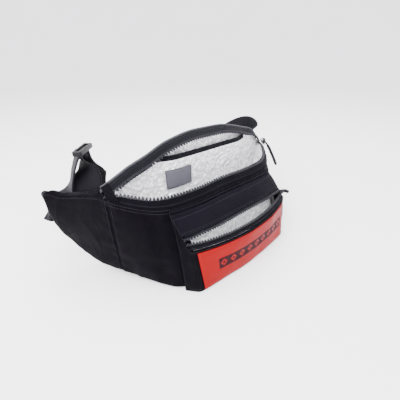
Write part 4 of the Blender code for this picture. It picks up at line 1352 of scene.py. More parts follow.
def mouth(place):
    """Starts and directions of the front and rear tapes of the main zip, and their reach."""
    front_rim, _, _, rear_rim = corners(place)
    front = outward(place)
    front_start = front_rim - UP * EDGE_GAP - front * WALL / 3
    beside = PIPING_RADIUS + SEAM_GAP + TAPE_THICKNESS
    rear_start = rear_rim + UP * (EDGE_GAP + PIPING_RADIUS) + front * beside
    across = rear_start - front_start
    closing = float(ease((abs(place) - MOUTH_EASE_ROW) / (WING_SEAM_ROW - MOUTH_EASE_ROW)))
    front_open = unit(UP * FRONT_TAPE_WAY[1] - front * FRONT_TAPE_WAY[0])
    rear_open = unit(front * REAR_TAPE_WAY[0] - UP * REAR_TAPE_WAY[1])
    front_way = unit(front_open * (1 - closing) + unit(across) * closing)
    rear_way = unit(rear_open * (1 - closing) - unit(across) * closing)
    reach = min(TAPE_WIDTH, np.linalg.norm(across) / 2 - CHAIN_WIDTH - 2 * SEAM_GAP - EDGE_GAP)
    return front_start, front_way, rear_start, rear_way, reach


def rim_line(places):
    """Middle of the rolled rim, square to the back wall's upper edge."""
    edge = np.array([corners(place)[3] for place in places])
    along = np.gradient(edge, axis=0)
    along /= np.linalg.norm(along, axis=1, keepdims=True)
    above = UP - along * (along @ UP)[:, None]
    above /= np.linalg.norm(above, axis=1, keepdims=True)
    return edge + above * (EDGE_GAP + PIPING_RADIUS)


def zip_side(name, starts, ways, reaches, pitch, width, thickness, tape, nodes):
    """One tape with its row of teeth, cord and stitch line."""
    shares = np.linspace(0, 1, TAPE_COLUMNS)
    starts, ways, reaches = np.array(starts), np.array(ways), np.array(reaches)
    grid = starts[:, None] + ways[:, None] * reaches[:, None, None] * shares[None, :, None]
    along, _ = spans(grid)
    ripple = TAPE_RIPPLE * np.sin(along / TAPE_RIPPLE_LENGTH)
    grid = raised(grid, ripple * shares[None, :])
    over = TAPE_THICKNESS * 0.4
    item = sheet(name + "_tape_cloth", grid, 2 * over, finish(tape), offset=0.0)
    belongs(item, "zip_tape", nodes[0])
    edge = grid[:, -1]
    shape = tooth_shape(name + "_tooth", pitch, width, thickness)
    teeth = lay(name + "_teeth", [(edge, ways)], shape, pitch, finish("zip_teeth"),
                TOOTH_LOOSENESS, 4)
    bpy.data.objects.remove(shape)
    belongs(teeth, "zip_teeth", nodes[1])
    cord = tube(name + "_cord", edge - ways * ZIP_CORD_PLACE, thickness * ZIP_CORD_SHARE,
                finish(tape), sides=8)
    belongs(cord, "zip_tape")
    line, normal = row_line(grid, 2.0)
    rows = [(line + normal * over, normal), (line - normal * over, -normal)]
    stitches(name + "_tape_stitches", rows, "zip_tape", length=0.0022, spacing=0.0031)


def make_tapes(mouths, names, finishes, pitch, width, thickness):
    """Both sides of a zip; the names are those of each side and of its tape and chain."""
    reaches = [row[4] for row in mouths]
    for (name, *nodes), tape, first in zip(names, finishes, (0, 2)):
        starts = [row[first] for row in mouths]
        ways = [row[first + 1] for row in mouths]
        zip_side(name, starts, ways, reaches, pitch, width, thickness, tape, nodes)


def make_main_zip():
    """Both tapes of the main zip with their teeth."""
    names = [(word, word + "_tape", word + "_chain") for word in ("front_zip", "rear_zip")]
    # The rear tape's finish is lighter than the front one's as painted light.
    make_tapes([mouth(place) for place in body_places()], names, ("zip_tape", "rear_zip_tape"),
               bpy.context.scene.bag_sizes.tooth_pitch, CHAIN_WIDTH, CHAIN_THICKNESS)


def make_zip_tab():
    """The short cloth tab over the left end of the zip."""
    tab = []
    for place in np.linspace(-WING_SEAM_ROW, TAB_END_ROW, 14):
        front_start, _, rear_start, _, _ = mouth(place)
        t = np.linspace(-TAB_OVERLAP, 1.0, 16)[:, None]
        swell = TAB_LIFT * (0.6 + 0.4 * np.sin(np.pi * t))
        tab.append(front_start + (rear_start - front_start) * t + UP * swell)
    item = sheet("left_zip_tab", np.array(tab), FOIL, finish("black_nylon"), offset=0.0)
    belongs(item, "black_nylon")


def make_rim():
    """The rolled edge along the rear rim, grey as a painted highlight on its black cloth."""
    rim = rim_line(body_places())
    item = tube("rim_piping_cord", rim, PIPING_RADIUS, finish("piping"), sides=14)
    belongs(item, "black_nylon", "rim_piping")


def slider_parts(matrix, length, width, height):
    """Two plates, the wedge between them and a lip at each side."""
    def outline(points, side=1):
        return [(x * length, side * y * width) for x, y in points]

    low, high = -height / 2, height / 2
    parts = [(outline(SLIDER_PLATE), low, low + height * 0.20, matrix),
             (outline(SLIDER_PLATE), high - height * 0.42, high - height * 0.22, matrix),
             (outline(SLIDER_WEDGE), low + height * 0.1, high - height * 0.3, matrix)]
    for side in (-1, 1):
        parts.append((outline(SLIDER_LIP, side), low + height * 0.15, low + height * 0.36,
                      matrix))
    return parts


def bridge_points(matrix, length, height):
    """The arch on top of a slider."""
    points = []
    for step in range(15):
        turn = math.pi * step / 14
        x = -math.cos(turn) * length * 0.34
        z = height * 0.22 + math.sin(turn) * height * 0.30
        points.append(tuple(matrix @ Vector((x, 0.0, z))))
    return points


def main_slider_place():
    """Middle of the main slider, and the directions along, above and beside it."""
    front_start, _, rear_start, _, _ = mouth(WING_SEAM_ROW)
    along = unit(front_start - mouth(WING_SEAM_ROW - 0.5)[0])
    across = unit(rear_start - front_start)
    above = unit(np.cross(along, across))
    lift = SLIDER_HEIGHT / 2 + CHAIN_THICKNESS / 2 + 3 * EDGE_GAP
    middle = front_start + (rear_start - front_start) * SLIDER_SHARE + above * lift
    return middle, along, above, -unit(np.cross(above, along))


def make_slider(name, node_name, matrix, length, width, height, edge, wire):
    """A slider's body and the bridge on it."""
    parts = slider_parts(matrix, length, width, height)
    item = solid(name + "_body", parts, finish("zip_teeth"), edge)
    belongs(item, "zip_teeth", node_name)
    arch = bridge_points(matrix, length, height)
    belongs(tube(name + "_bridge", arch, wire, finish("zip_teeth"), sides=10), "zip_teeth")


def make_sliders():
    """Both sliders with their bridges and pulls."""
    main_middle, along, above, side = main_slider_place()
    make_slider("main_slider", "main_zip_slider", frame_matrix(main_middle, -along, above),
                SLIDER_LENGTH, SLIDER_WIDTH, SLIDER_HEIGHT, 0.0004, 0.0009)
    upper_start, _, lower_start, _, _ = pocket_mouth(pocket_places()[-1])
    up = unit(np.array(POCKET_SLIDER_UP))
    height = POCKET_SLIDER_WIDTH * POCKET_SLIDER_SHARE
    lift = height / 2 + POCKET_CHAIN_THICKNESS / 2 + 3 * EDGE_GAP
    middle = (upper_start + lower_start) / 2 + up * lift
    make_slider("pocket_slider", "pocket_slider", frame_matrix(middle, (-1.0, 0.0, 0.0), up),
                POCKET_SLIDER_LENGTH, POCKET_SLIDER_WIDTH, height, 0.0003, 0.0006)
    make_pulls(main_middle, side, middle)


def make_pulls(middle, side, pocket_middle):
    """The main zip's ribbed cord pull, and the pocket's stubby one."""
    start = middle + side * (SLIDER_WIDTH / 2 + EDGE_GAP)
    corner = start + side * PULL_REACH / 3
    end = start - UP * PULL_DROP + np.array((0.0, -PULL_REACH, 0.0))
    t = np.linspace(0, 1, 60)
    ribs = 1 + 0.16 * np.sin(t * 2 * np.pi * PULL_RIBS)
    grip = 0.62 + 0.38 * ease((t - 0.22) / 0.10)
    last = 1 - 0.35 * ease((t - 0.95) / 0.05)
    item = tube("main_pull_cord", bend(start, corner, end, t), PULL_RADIUS, finish("webbing"),
                sides=14, radii=PULL_RADIUS * ribs * grip * last)
    belongs(item, "webbing", "main_zip_pull")
    start = pocket_middle + np.array((POCKET_SLIDER_LENGTH / 2 + 2 * EDGE_GAP, 0.0, 0.0))
    t = np.linspace(0, 1, 30)
    points = start + unit(np.array(POCKET_PULL_WAY)) * POCKET_PULL_LENGTH * t[:, None]
    ribs = 1 + 0.10 * np.sin(t * 2 * np.pi * POCKET_PULL_RIBS)
    radii = PULL_RADIUS * (0.72 + 0.28 * ease(t / 0.3)) * ribs
    item = tube("pocket_pull_grip", points, PULL_RADIUS, finish("webbing"), sides=14,
                radii=radii * (1 - 0.4 * ease((t - 0.9) / 0.1)))
    belongs(item, "webbing", "pocket_pull")


# Front pocket


def body_front_at(x, z):
    """A point of the bag's front wall at a width and a height."""
    place = place_at(x)
    front_top, front_low, _, _ = corners(place)
    share = (front_top[2] - z) / (front_top[2] - front_low[2])
    bulge = outward(place) * FRONT_BULGE * fade(place) * math.sin(math.pi * share)
    return front_top + (front_low - front_top) * share + bulge, outward(place)


def pocket_seam(side, height):
    """Where the pocket's side meets the bag's front wall, at a share of the pocket's height."""
    z = height * POCKET_HEIGHT
    half = POCKET_SEAM_WIDTH / 2 + (POCKET_TOP_WIDTH - POCKET_SEAM_WIDTH) / 2 * height
    point, way = body_front_at(side * half, z)
    return np.array((side * half, point[1], z)) + way * POCKET_SEAM_GAP


def pocket_edge(side, z):
    """The pocket's front corner up to the zip, then the sloping edge of its side."""
    share = min(1.0, z / POCKET_FRONT_HEIGHT)
    half = POCKET_BASE_WIDTH / 2 + (POCKET_TOP_WIDTH - POCKET_BASE_WIDTH) / 2 * share
    y = -POCKET_FRONT + POCKET_LEAN * share
    if z > POCKET_FRONT_HEIGHT:
        top = pocket_seam(side, 1.0)
        rise = (z - POCKET_FRONT_HEIGHT) / (POCKET_HEIGHT - POCKET_FRONT_HEIGHT)
        y = y + (top[1] - WALL - y) * rise
    return np.array((side * half, y, z))


def gusset_point(side, across, up):
    """A point of the pocket's side, across 0 at the seam and 1 at the front corner."""
    top = POCKET_HEIGHT + (POCKET_FRONT_HEIGHT - POCKET_HEIGHT) * across
    z = up * top
    weight = across ** (1.0 - up) if across > 0 else 0.0
    seam = pocket_seam(side, z / POCKET_HEIGHT)
    return seam + (pocket_edge(side, z) - seam) * weight


def face_point(across, up):
    """A point of the pocket's front face, across -1 to 1 and up 0 to 1."""
    half = POCKET_BASE_WIDTH / 2 + (POCKET_TOP_WIDTH - POCKET_BASE_WIDTH) / 2 * up
    bow = POCKET_BASE_BOW + (POCKET_TOP_BOW - POCKET_BASE_BOW) * up
    y = -POCKET_FRONT + POCKET_LEAN * up - bow * (1 - across * across)
    return np.array((across * half, y, up * POCKET_FRONT_HEIGHT))


def pocket_places(columns=POCKET_COLUMNS):
    """Places across the pocket's front face between its rounded corners."""
    inner = 1 - 2 * POCKET_CORNER / POCKET_TOP_WIDTH
    return np.linspace(-inner, inner, columns + 1)


def shell_row(up):
    """One level line of the pocket's wall: left side, corner, front face, corner, right side."""
    places = pocket_places()
    sides = []
    for side in (-1.0, 1.0):
        steps = 1 - (1 - np.linspace(0, 1, GUSSET_COLUMNS + 1)[:-1]) ** 1.15
        line = [gusset_point(side, step, up) for step in steps]
        corner = gusset_point(side, 1.0, up)
        face = face_point(math.copysign(places[-1], side), up)
        from_side = corner + unit(line[-3] - corner) * POCKET_CORNER * 0.9
        line = [point for point in line if np.linalg.norm(point - corner) > POCKET_CORNER]
        line = resample(line + [from_side], GUSSET_COLUMNS)
        sides.append(list(line) + list(bend(from_side, corner, face, np.arange(1, 6) / 6)))
    return sides[0] + [face_point(place, up) for place in places] + sides[1][::-1]


def resample(points, count):
    """Points at even distances along a line."""
    points = np.array(points)
    steps = np.linalg.norm(np.diff(points, axis=0), axis=1)
    length = np.concatenate(((0.0,), np.cumsum(steps)))
    at = np.linspace(0, length[-1], count)
    return np.stack([np.interp(at, length, points[:, axis]) for axis in range(3)], axis=1)


def pocket_folds(grid, seed=11.0):
    """The pocket's own soft dents, shared by its face and the patch on it."""
    soft = waves(grid, 0.060, (1.0, 0.6, 1.0), seed, 2)
    fine = waves(grid, 0.022, (0.7, 0.5, 1.3), seed + 5, 2)
    return bpy.context.scene.bag_sizes.fold_depth * (0.45 * soft + 0.16 * fine)


def slope_edges(place):
    """Upper and lower edge of the pocket's sloping top at a place across it."""
    x = place * POCKET_TOP_WIDTH / 2
    point, way = body_front_at(x, POCKET_HEIGHT)
    top = np.array((x, point[1], POCKET_HEIGHT)) + way * POCKET_SEAM_GAP
    low = np.array((x, top[1] - POCKET_SLOPE_DEPTH, POCKET_HEIGHT - POCKET_SLOPE_DROP))
    return top, low


def make_pocket_shell():
    """The wrapped front and sides of the front pocket."""
    grid = np.array([shell_row(up) for up in np.linspace(0, 1, POCKET_ROWS + 1)])
    height = pocket_folds(grid) * margins(grid, 0.010, first_row=False)
    side = ease((np.abs(grid[:, :, 0]) - 0.088) / 0.004)
    hollow = side * waves(grid, 0.035, (0.5, 1.0, 0.8), 15.0, 2) * margins(grid, 0.008)
    height += 1.2 * bpy.context.scene.bag_sizes.fold_depth * hollow
    grid = raised(grid, height)
    belongs(sheet("pocket_shell_cloth", grid, WALL, finish("black_nylon")), "black_nylon",
            "pocket_shell")
    rows = [row_line(grid, 2.0), row_line(grid, grid.shape[1] - 3.0),
            column_line(grid, grid.shape[0] - 2.5)]
    stitches("pocket_shell_stitches", rows, "black_nylon", seed=6)


def make_pocket_top():
    """The pocket's sloping top, turned down over both sides, with a ridge along it."""
    turn = POCKET_TOP_TURN * 2 / POCKET_TOP_WIDTH
    slope = []
    bends = 1 - turn + turn * np.sin(np.linspace(0, np.pi / 2, 7))
    flat = np.linspace(-1 + turn, 1 - turn, POCKET_COLUMNS + 1)[1:-1]
    drops = POCKET_TOP_TURN * (1 - np.cos(np.linspace(0, np.pi / 2, 7)))
    drops = np.concatenate((drops[::-1], np.zeros(len(flat)), drops))
    for place, drop in zip(np.concatenate((-bends[::-1], flat, bends)), drops):
        top, low = slope_edges(place)
        top, low = top - UP * drop, low - UP * drop
        t = np.linspace(-POCKET_TOP_LAP, 1, 20)[:, None]
        crown = POCKET_CROWN * np.sin(np.pi * t) * (1 - place * place)
        ridge = POCKET_RIDGE * np.exp(-((t - POCKET_RIDGE_PLACE) / POCKET_RIDGE_WIDTH) ** 2)
        slope.append(low + (top - low) * t + np.array(POCKET_TOP_WAY) * (crown + ridge))
    grid = np.array(slope)[::-1]
    height = 0.8 * pocket_folds(grid, 19.0) * margins(grid, 0.006)
    grid = raised(grid, height)
    # The lighter nylon here is painted light on the upward slope.
    belongs(sheet("pocket_top_cloth", grid, WALL, finish("lit_pocket_top_nylon")), "black_nylon",
            "pocket_top")
    stitches("pocket_top_stitches", [row_line(grid, 1.2), row_line(grid, 13.0),
                                     row_line(grid, 16.6)], "black_nylon", seed=7)


def make_pocket_floor():
    """The pocket's flat floor."""
    floor = []
    for place in pocket_places():
        front = face_point(place, 0.0)
        front[1] += WALL + EDGE_GAP
        back = np.array((front[0], SECTIONS[0][1] * BAG_DEPTH - EDGE_GAP, 0.0))
        floor.append([front + (back - front) * t for t in np.linspace(0, 1, 9)])
    belongs(sheet("pocket_bottom_cloth", np.array(floor), WALL, finish("black_nylon")),
            "black_nylon", "pocket_bottom")


def make_welt():
    """The folded seam that caps the pocket where its top meets the bag."""
    line, radii = [], []
    for place in np.linspace(-1.0, 1.0, 90):
        top, _ = slope_edges(place)
        line.append(top + np.array(WELT_PLACE))
        radii.append(WELT_RADIUS * (1 + 0.08 * math.sin(place * 37)))
    # The welt takes the pocket top's lighter nylon, which is painted light.
    item = tube("pocket_welt", line, WELT_RADIUS, finish("lit_pocket_top_nylon"), sides=10, radii=radii)
    belongs(item, "black_nylon")


def pocket_mouth(place):
    """Starts and directions of the pocket's upper and lower tapes, and their reach."""
    _, low = slope_edges(place)
    upper_start = low + np.array((0.0, -0.8, -0.6)) * SEAM_GAP * 2
    face = face_point(place, 1.0)
    lower_start = face + UP * (EDGE_GAP + TAPE_THICKNESS / 2)
    lower_start[1] += WALL / 2
    across = lower_start - upper_start
    closing = float(ease((abs(place) - POCKET_TAPE_CLOSES) / (1 - POCKET_TAPE_CLOSES)))
    upper_open = unit(np.array(POCKET_TAPE_WAY))
    upper_way = unit(upper_open * (1 - closing) + unit(across) * closing)
    lower_way = unit(-upper_open * (1 - closing) - unit(across) * closing)
    span = np.linalg.norm(across)
    reach = min(POCKET_TAPE_WIDTH, span / 2 - POCKET_CHAIN_WIDTH - 2 * SEAM_GAP)
    reach *= POCKET_OPENING + (1 - POCKET_OPENING) * closing
    return upper_start, upper_way, lower_start, lower_way, reach


def make_pocket_zip():
    """The pocket's tapes and teeth."""
    places = np.linspace(-POCKET_ZIP_SHARE, POCKET_ZIP_SHARE, 121)
    names = [("pocket_" + word, "pocket_" + word + "_tape", "pocket_" + word + "_chain")
             for word in ("upper", "lower")]
    make_tapes([pocket_mouth(place) for place in places], names, ("zip_tape", "zip_tape"),
               bpy.context.scene.bag_sizes.pocket_tooth_pitch, POCKET_CHAIN_WIDTH,
               POCKET_CHAIN_THICKNESS)


def make_pocket_lining():
    """Crumpled foil down the pocket's front, across its floor and up the bag's wall."""
    clear = WALL + SEAM_GAP * 2
    grid = []
    for place in pocket_places(100) * POCKET_LINING_SHARE:
        line = [face_point(place, up) + np.array((0.0, clear, 0.0))
                for up in np.linspace(*POCKET_LINING_FRONT[::-1], 24)]
        front_foot = face_point(place, 0.0) + np.array((0.0, clear + POCKET_LINING_TURN, clear))
        foot, way = body_front_at(front_foot[0], CORNER_RADIUS)
        back = np.array((front_foot[0], foot[1], 0.0)) + way * (FOIL + EDGE_GAP)
        line.append(front_foot)
        line.append(np.array((back[0], back[1] - POCKET_LINING_TURN, clear)))
        for z in np.linspace(CORNER_RADIUS, POCKET_HEIGHT * POCKET_LINING_TOP, 34):
            point, way = body_front_at(front_foot[0], z)
            line.append(np.array((front_foot[0], point[1], z)) + way * (FOIL + EDGE_GAP))
        grid.append(line)
    grid = np.array(grid)
    depth = bpy.context.scene.bag_sizes.crinkle_depth
    inwards = -depth * crumple(grid, POCKET_CREASES) * margins(grid, POCKET_FOIL_EDGE)
    item = sheet("pocket_lining_foil", raised(grid, inwards), FOIL, finish("pocket_foil"))
    belongs(item, "silver_foil", "pocket_lining")


def make_patch():
    """The smooth red panel on the pocket's front face, sewn round its edge."""
    half = PATCH_WIDTH / POCKET_TOP_WIDTH
    low = PATCH_FOOT / POCKET_FRONT_HEIGHT
    high = (PATCH_FOOT + PATCH_HEIGHT) / POCKET_FRONT_HEIGHT
    grid = np.array([[face_point(place, up) for place in np.linspace(-half, half, 121)]
                     for up in np.linspace(low, high, 49)])
    grid = raised(grid, pocket_folds(grid))
    grid = inset(grid, -(SEAM_GAP + PATCH_THICKNESS))
    along, across = spans(grid)
    edge = np.minimum(np.minimum(along, along[-1:] - along),
                      np.minimum(across, across[:, -1:] - across))
    puckers = 0.5 + 0.5 * np.sin((along + across) / PATCH_PUCKER_LENGTH)
    height = PATCH_SWELL * ease(edge / PATCH_SWELL_REACH)
    height += PATCH_PUCKER * puckers * np.exp(-(edge / PATCH_PUCKER_REACH) ** 2)
    grid = np.swapaxes(raised(grid, height), 0, 1)[:, ::-1]
    item = sheet("red_patch_film", grid, PATCH_THICKNESS, finish("red_film"))
    belongs(item, "red_film", "red_patch")
    rows = [row_line(grid, 1.6), row_line(grid, grid.shape[1] - 2.6),
            column_line(grid, 1.5), column_line(grid, grid.shape[0] - 2.5)]
    stitches("patch_stitches", rows, "red_film", "patch_thread", 0.0020, 0.0004, 0.0029, 8)


# Inner pocket


def slip_point(x, z, lift=0.0):
    """A point of the inner pocket's face at a width and a height."""
    place = place_at(x, "back_top_x")
    _, _, back_low, back_top = corners(place)
    share = (z - back_low[2]) / (back_top[2] - back_low[2])
    slack = float(ease((back_top[2] - SLIP_TOP - TAPE_WIDTH) / TAPE_WIDTH))
    stand = SLIP_FOOT_STANDOFF + SLIP_STANDOFF * slack * min(1.0, z / SLIP_TOP) ** 2
    off = WALL + SEAM_GAP + FOIL + stand + lift
    bulge = -outward(place) * BACK_BULGE * fade(place) * math.sin(math.pi * share)
    point = back_low + (back_top - back_low) * share + bulge + outward(place) * off
    return np.array((x, point[1], z))


def slip_top(x):
    """Height of the inner pocket's edge, which dips where the rim is low."""
    rim = corners(place_at(x, "back_top_x"))[3][2]
    return min(SLIP_TOP, rim - BINDING_WIDTH - TAPE_WIDTH / 2)


def make_slip_pocket():
    """Inner pocket on the rear wall and its dark binding."""
    face, binding = [], []
    for x in np.linspace(-SLIP_LEFT, SLIP_RIGHT, 150):
        top = slip_top(x)
        face.append([slip_point(x, z) for z in np.linspace(SLIP_FOOT, top, 60)])
        edge = top + SEAM_GAP
        binding.append([slip_point(x, z) for z in np.linspace(edge, edge + BINDING_WIDTH, 7)])
    face = np.array(face)
    depth = bpy.context.scene.bag_sizes.crinkle_depth
    flat = np.exp(-((face[:, :, 0] - LABEL_PLACE) / LABEL_FLAT_WIDTH) ** 4
                  - ((face[:, :, 2] - LABEL_TOP + LABEL_HEIGHT / 2) / LABEL_FLAT_HEIGHT) ** 4)
    height = (crumple(face, SLIP_CREASES) - 0.5) * depth * SLIP_CREASE_SHARE
    height = height * margins(face, FOIL_EDGE) * (1 - flat)
    item = sheet("slip_pocket_foil", raised(face, -height), FOIL, finish("silver_foil"),
                 offset=0.0)
    belongs(item, "silver_foil", "slip_pocket")
    binding = np.array(binding)
    # The binding takes the rear tape's lighter finish, which is painted light.
    item = sheet("slip_binding_tape", binding, BINDING_THICKNESS, finish("rear_zip_tape"),
                 offset=0.0)
    belongs(item, "zip_tape", "slip_pocket_binding")
    line, normal = row_line(binding, 1.2)
    sense = -1.0 if normal[:, 1].mean() > 0 else 1.0
    over = line + normal * sense * BINDING_THICKNESS / 2
    stitches("binding_stitches", [(over, normal * sense)], "zip_tape", seed=9)


def make_label():
    """The small leather label on the inner pocket, sewn round its edge."""
    left, right = LABEL_PLACE - LABEL_WIDTH / 2, LABEL_PLACE + LABEL_WIDTH / 2
    lift = FOIL / 2 + EDGE_GAP + LABEL_THICKNESS / 2
    grid = np.array([[slip_point(x, z, lift)
                      for z in np.linspace(LABEL_TOP - LABEL_HEIGHT, LABEL_TOP, 19)]
                     for x in np.linspace(left, right, 27)])
    sense = -1.0 if normals(grid)[..., 1].mean() > 0 else 1.0
    swell = 0.0005 * margins(grid, 0.004)
    grid = raised(grid, swell * sense)
    item = sheet("leather_label_piece", grid, LABEL_THICKNESS, finish("grey_leather"),
                 offset=0.0)
    belongs(item, "grey_leather", "leather_label")
    over = LABEL_THICKNESS / 2
    rows = []
    for line, normal in (row_line(grid, 1.3), row_line(grid, 16.7), column_line(grid, 1.2),
                         column_line(grid, 24.8)):
        rows.append((line + normal * sense * over, normal * sense))
    stitches("label_stitches", rows, "grey_leather", "label_thread", 0.0017, 0.0005, 0.0025, 10)


# Webbing


def route_rows(route):
    """Middle, width direction and half width of the webbing at points along a smooth route."""
    scale = dict(x=HALF_LENGTH, y=BAG_DEPTH, z=RIM_HEIGHT, width=STRAP_WIDTH / 2)
    table = np.array(route) * np.array([scale.get(name, 1.0) for name in ROUTE_COLUMNS])
    tangents = np.gradient(table, axis=0)
    steps = (len(table) - 1) * POINTS_PER_STEP
    rows = np.array([smooth_row(table, tangents, step / POINTS_PER_STEP)
                     for step in range(steps + 1)])
    middles = rows[:, :3]
    ways = np.gradient(middles, axis=0)
    ways /= np.linalg.norm(ways, axis=1, keepdims=True)
    across = rows[:, 3:6]
    across = across - ways * np.sum(across * ways, axis=1, keepdims=True)
    across /= np.linalg.norm(across, axis=1, keepdims=True)
    return middles, across, rows[:, 6:]


def webbing_grid(route):
    """A flat strap along its route, kept off the table, with a slight cup across its width."""
    middles, across, half = route_rows(route)
    low = np.abs(across[:, 2]) * half[:, 0] + SEAM_GAP
    middles[:, 2] = np.maximum(middles[:, 2], low)
    shares = np.linspace(-1, 1, WEB_COLUMNS + 1)
    grid = middles[:, None] + across[:, None] * half[:, None] * shares[None, :, None]
    along, _ = spans(grid)
    cup = WEB_CUP * (shares[None, :] ** 2 - 0.4) * np.sin(along / WEB_CUP_LENGTH)
    return raised(grid, cup)


def make_strap(name, route, seed):
    """One stretch of webbing with stitches along both edges and on both faces."""
    grid = webbing_grid(route)
    item = sheet(name + "_webbing", grid, STRAP_THICKNESS, finish("webbing"), offset=0.0)
    belongs(item, "webbing", name)
    over = STRAP_THICKNESS / 2
    rows = []
    for column in (WEB_STITCH, WEB_COLUMNS - WEB_STITCH):
        line, normal = row_line(grid, column)
        rows.append((line + normal * over, normal))
        rows.append((line - normal * over, -normal))
    stitches(name + "_stitches", rows, "webbing", "thread", 0.0024, 0.0005, 0.0034, seed)
    return grid


def make_slide(fold, belt):
    """The moulded slide at the top of the left strap: a frame with a bar across."""
    middle_column = WEB_COLUMNS // 2
    cap = (fold[np.argmax(fold[:, middle_column, 2]), middle_column] + belt[0, middle_column]) / 2
    cap[2] = fold[:, :, 2].max() + STRAP_THICKNESS + SEAM_GAP + ADJUSTER_HEIGHT / 2 - ADJUSTER_SINK
    matrix = frame_matrix(cap, ADJUSTER_WAY, UP)
    length, width = STRAP_WIDTH * ADJUSTER_OVERHANG, ADJUSTER_WIDTH
    low, high = -ADJUSTER_HEIGHT / 2, ADJUSTER_HEIGHT / 2
    parts = []
    rail = rounded_box(length, width * ADJUSTER_RAIL_WIDTH, width * ADJUSTER_RAIL_CORNER)
    for shift in ADJUSTER_RAIL_PLACES:
        inside = [(x * 0.96 if shift == 0 else x, y + shift * width) for x, y in rail]
        parts.append((inside, low, high if shift else high - ADJUSTER_BAR_DROP, matrix))
    for side in (-1, 1):
        cheek = [(x + side * (length - ADJUSTER_CHEEK) / 2, y)
                 for x, y in rounded_box(ADJUSTER_CHEEK, width, 0.0015)]
        parts.append((cheek, low, high, matrix))
    item = solid("left_slide", parts, finish("black_plastic"), 0.0006)
    belongs(item, "black_plastic", "left_adjuster")


def make_buckle(left, right):
    """The fastened clasp behind the bag: a socket, its prongs and the bars for the webbing."""
    middle_column = WEB_COLUMNS // 2
    first, last = left[-1, middle_column], right[-1, middle_column]
    middle = (first + last) / 2
    way = last - first
    way[2] = 0.0
    length = np.linalg.norm(way) - 2 * EDGE_GAP
    height = STRAP_WIDTH * BUCKLE_OVERHANG
    middle[2] = height / 2 + SEAM_GAP
    side = unit(np.cross(UP, unit(way)))
    matrix = frame_matrix(middle, way, side)
    thick = BUCKLE_THICKNESS / 2
    parts = []
    for place, long, high, thin, radius in CLASP_BOXES:
        box = [(x + length * place, y)
               for x, y in rounded_box(length * long, height * high, radius)]
        parts.append((box, -thick * thin, thick * thin, matrix))
    for sign in (-1, 1):
        prong = [(x * length, sign * y * height) for x, y in CLASP_PRONG]
        reach = thick * CLASP_PRONG_THICKNESS
        parts.append((prong, -reach, reach, matrix))
    item = solid("clasp", parts, finish("black_plastic"), 0.0009)
    belongs(item, "black_plastic", "buckle")


# Stage


def make_floor():
    """A pale floor that bends up into a round wall."""
    rings = [(0.0, 0.0), (FLOOR_RADIUS / 2, 0.0)]
    for turn in np.linspace(0, math.pi / 2, FLOOR_BEND_STEPS):
        rings.append((FLOOR_RADIUS + FLOOR_TURN * math.sin(turn),
                      FLOOR_TURN * (1 - math.cos(turn))))
    rings.append((FLOOR_RADIUS + FLOOR_TURN, FLOOR_WALL))
    turns = np.linspace(0, 2 * np.pi, FLOOR_SIDES, endpoint=False)
    points = [(r * math.cos(turn), r * math.sin(turn), z - FLOOR_DROP)
              for r, z in rings[1:] for turn in turns]
    faces = [tuple(range(FLOOR_SIDES))] + ring_faces(len(rings) - 1, FLOOR_SIDES)
    mesh = bpy.data.meshes.new("floor")
    mesh.from_pydata(points, [], faces)
    mesh.shade_smooth()
    settings = bpy.context.scene.bag_colours
    link("floor", mesh, floor_material("pale_floor", settings.floor))


def make_lights():
    """Even light from all round and three soft lamps."""
    world = bpy.data.worlds.new("studio")
    bpy.context.scene.world = world
    world.use_nodes = True
    background = world.node_tree.nodes["Background"]
    background.inputs["Color"].default_value = WORLD_COLOUR
    background.inputs["Strength"].default_value = WORLD_STRENGTH
    for name, place, size, power in LIGHTS:
        data = bpy.data.lights.new(name, "AREA")
        data.energy = power
        data.size = size
        item = link(name, data)
        item.location = place
        way = Vector(LIGHT_TARGET) - Vector(place)
        item.rotation_euler = way.to_track_quat("-Z", "Y").to_euler()


def make_camera():
    """The camera, at the photo's angle."""
    data = bpy.data.cameras.new("camera")
    data.lens = CAMERA_SENSOR * CAMERA_FOCAL_PIXELS / PHOTO_PIXELS
    data.sensor_width = CAMERA_SENSOR
    data.clip_start = CAMERA_NEAREST
    camera = link("camera", data)
    camera.location = CAMERA_PLACE
    camera.rotation_euler = [math.radians(turn) for turn in CAMERA_TURN]
    bpy.context.scene.camera = camera


def make_stage():
    """Floor, lights and camera."""
    make_floor()
    make_lights()
    make_camera()


# Settings, operators and panel


def colour_setting(name, description, default):
    """A colour that the user can set."""
    return FloatVectorProperty(name=name, description=description, subtype="COLOR", size=3,
                               min=0.0, max=1.0, default=default)


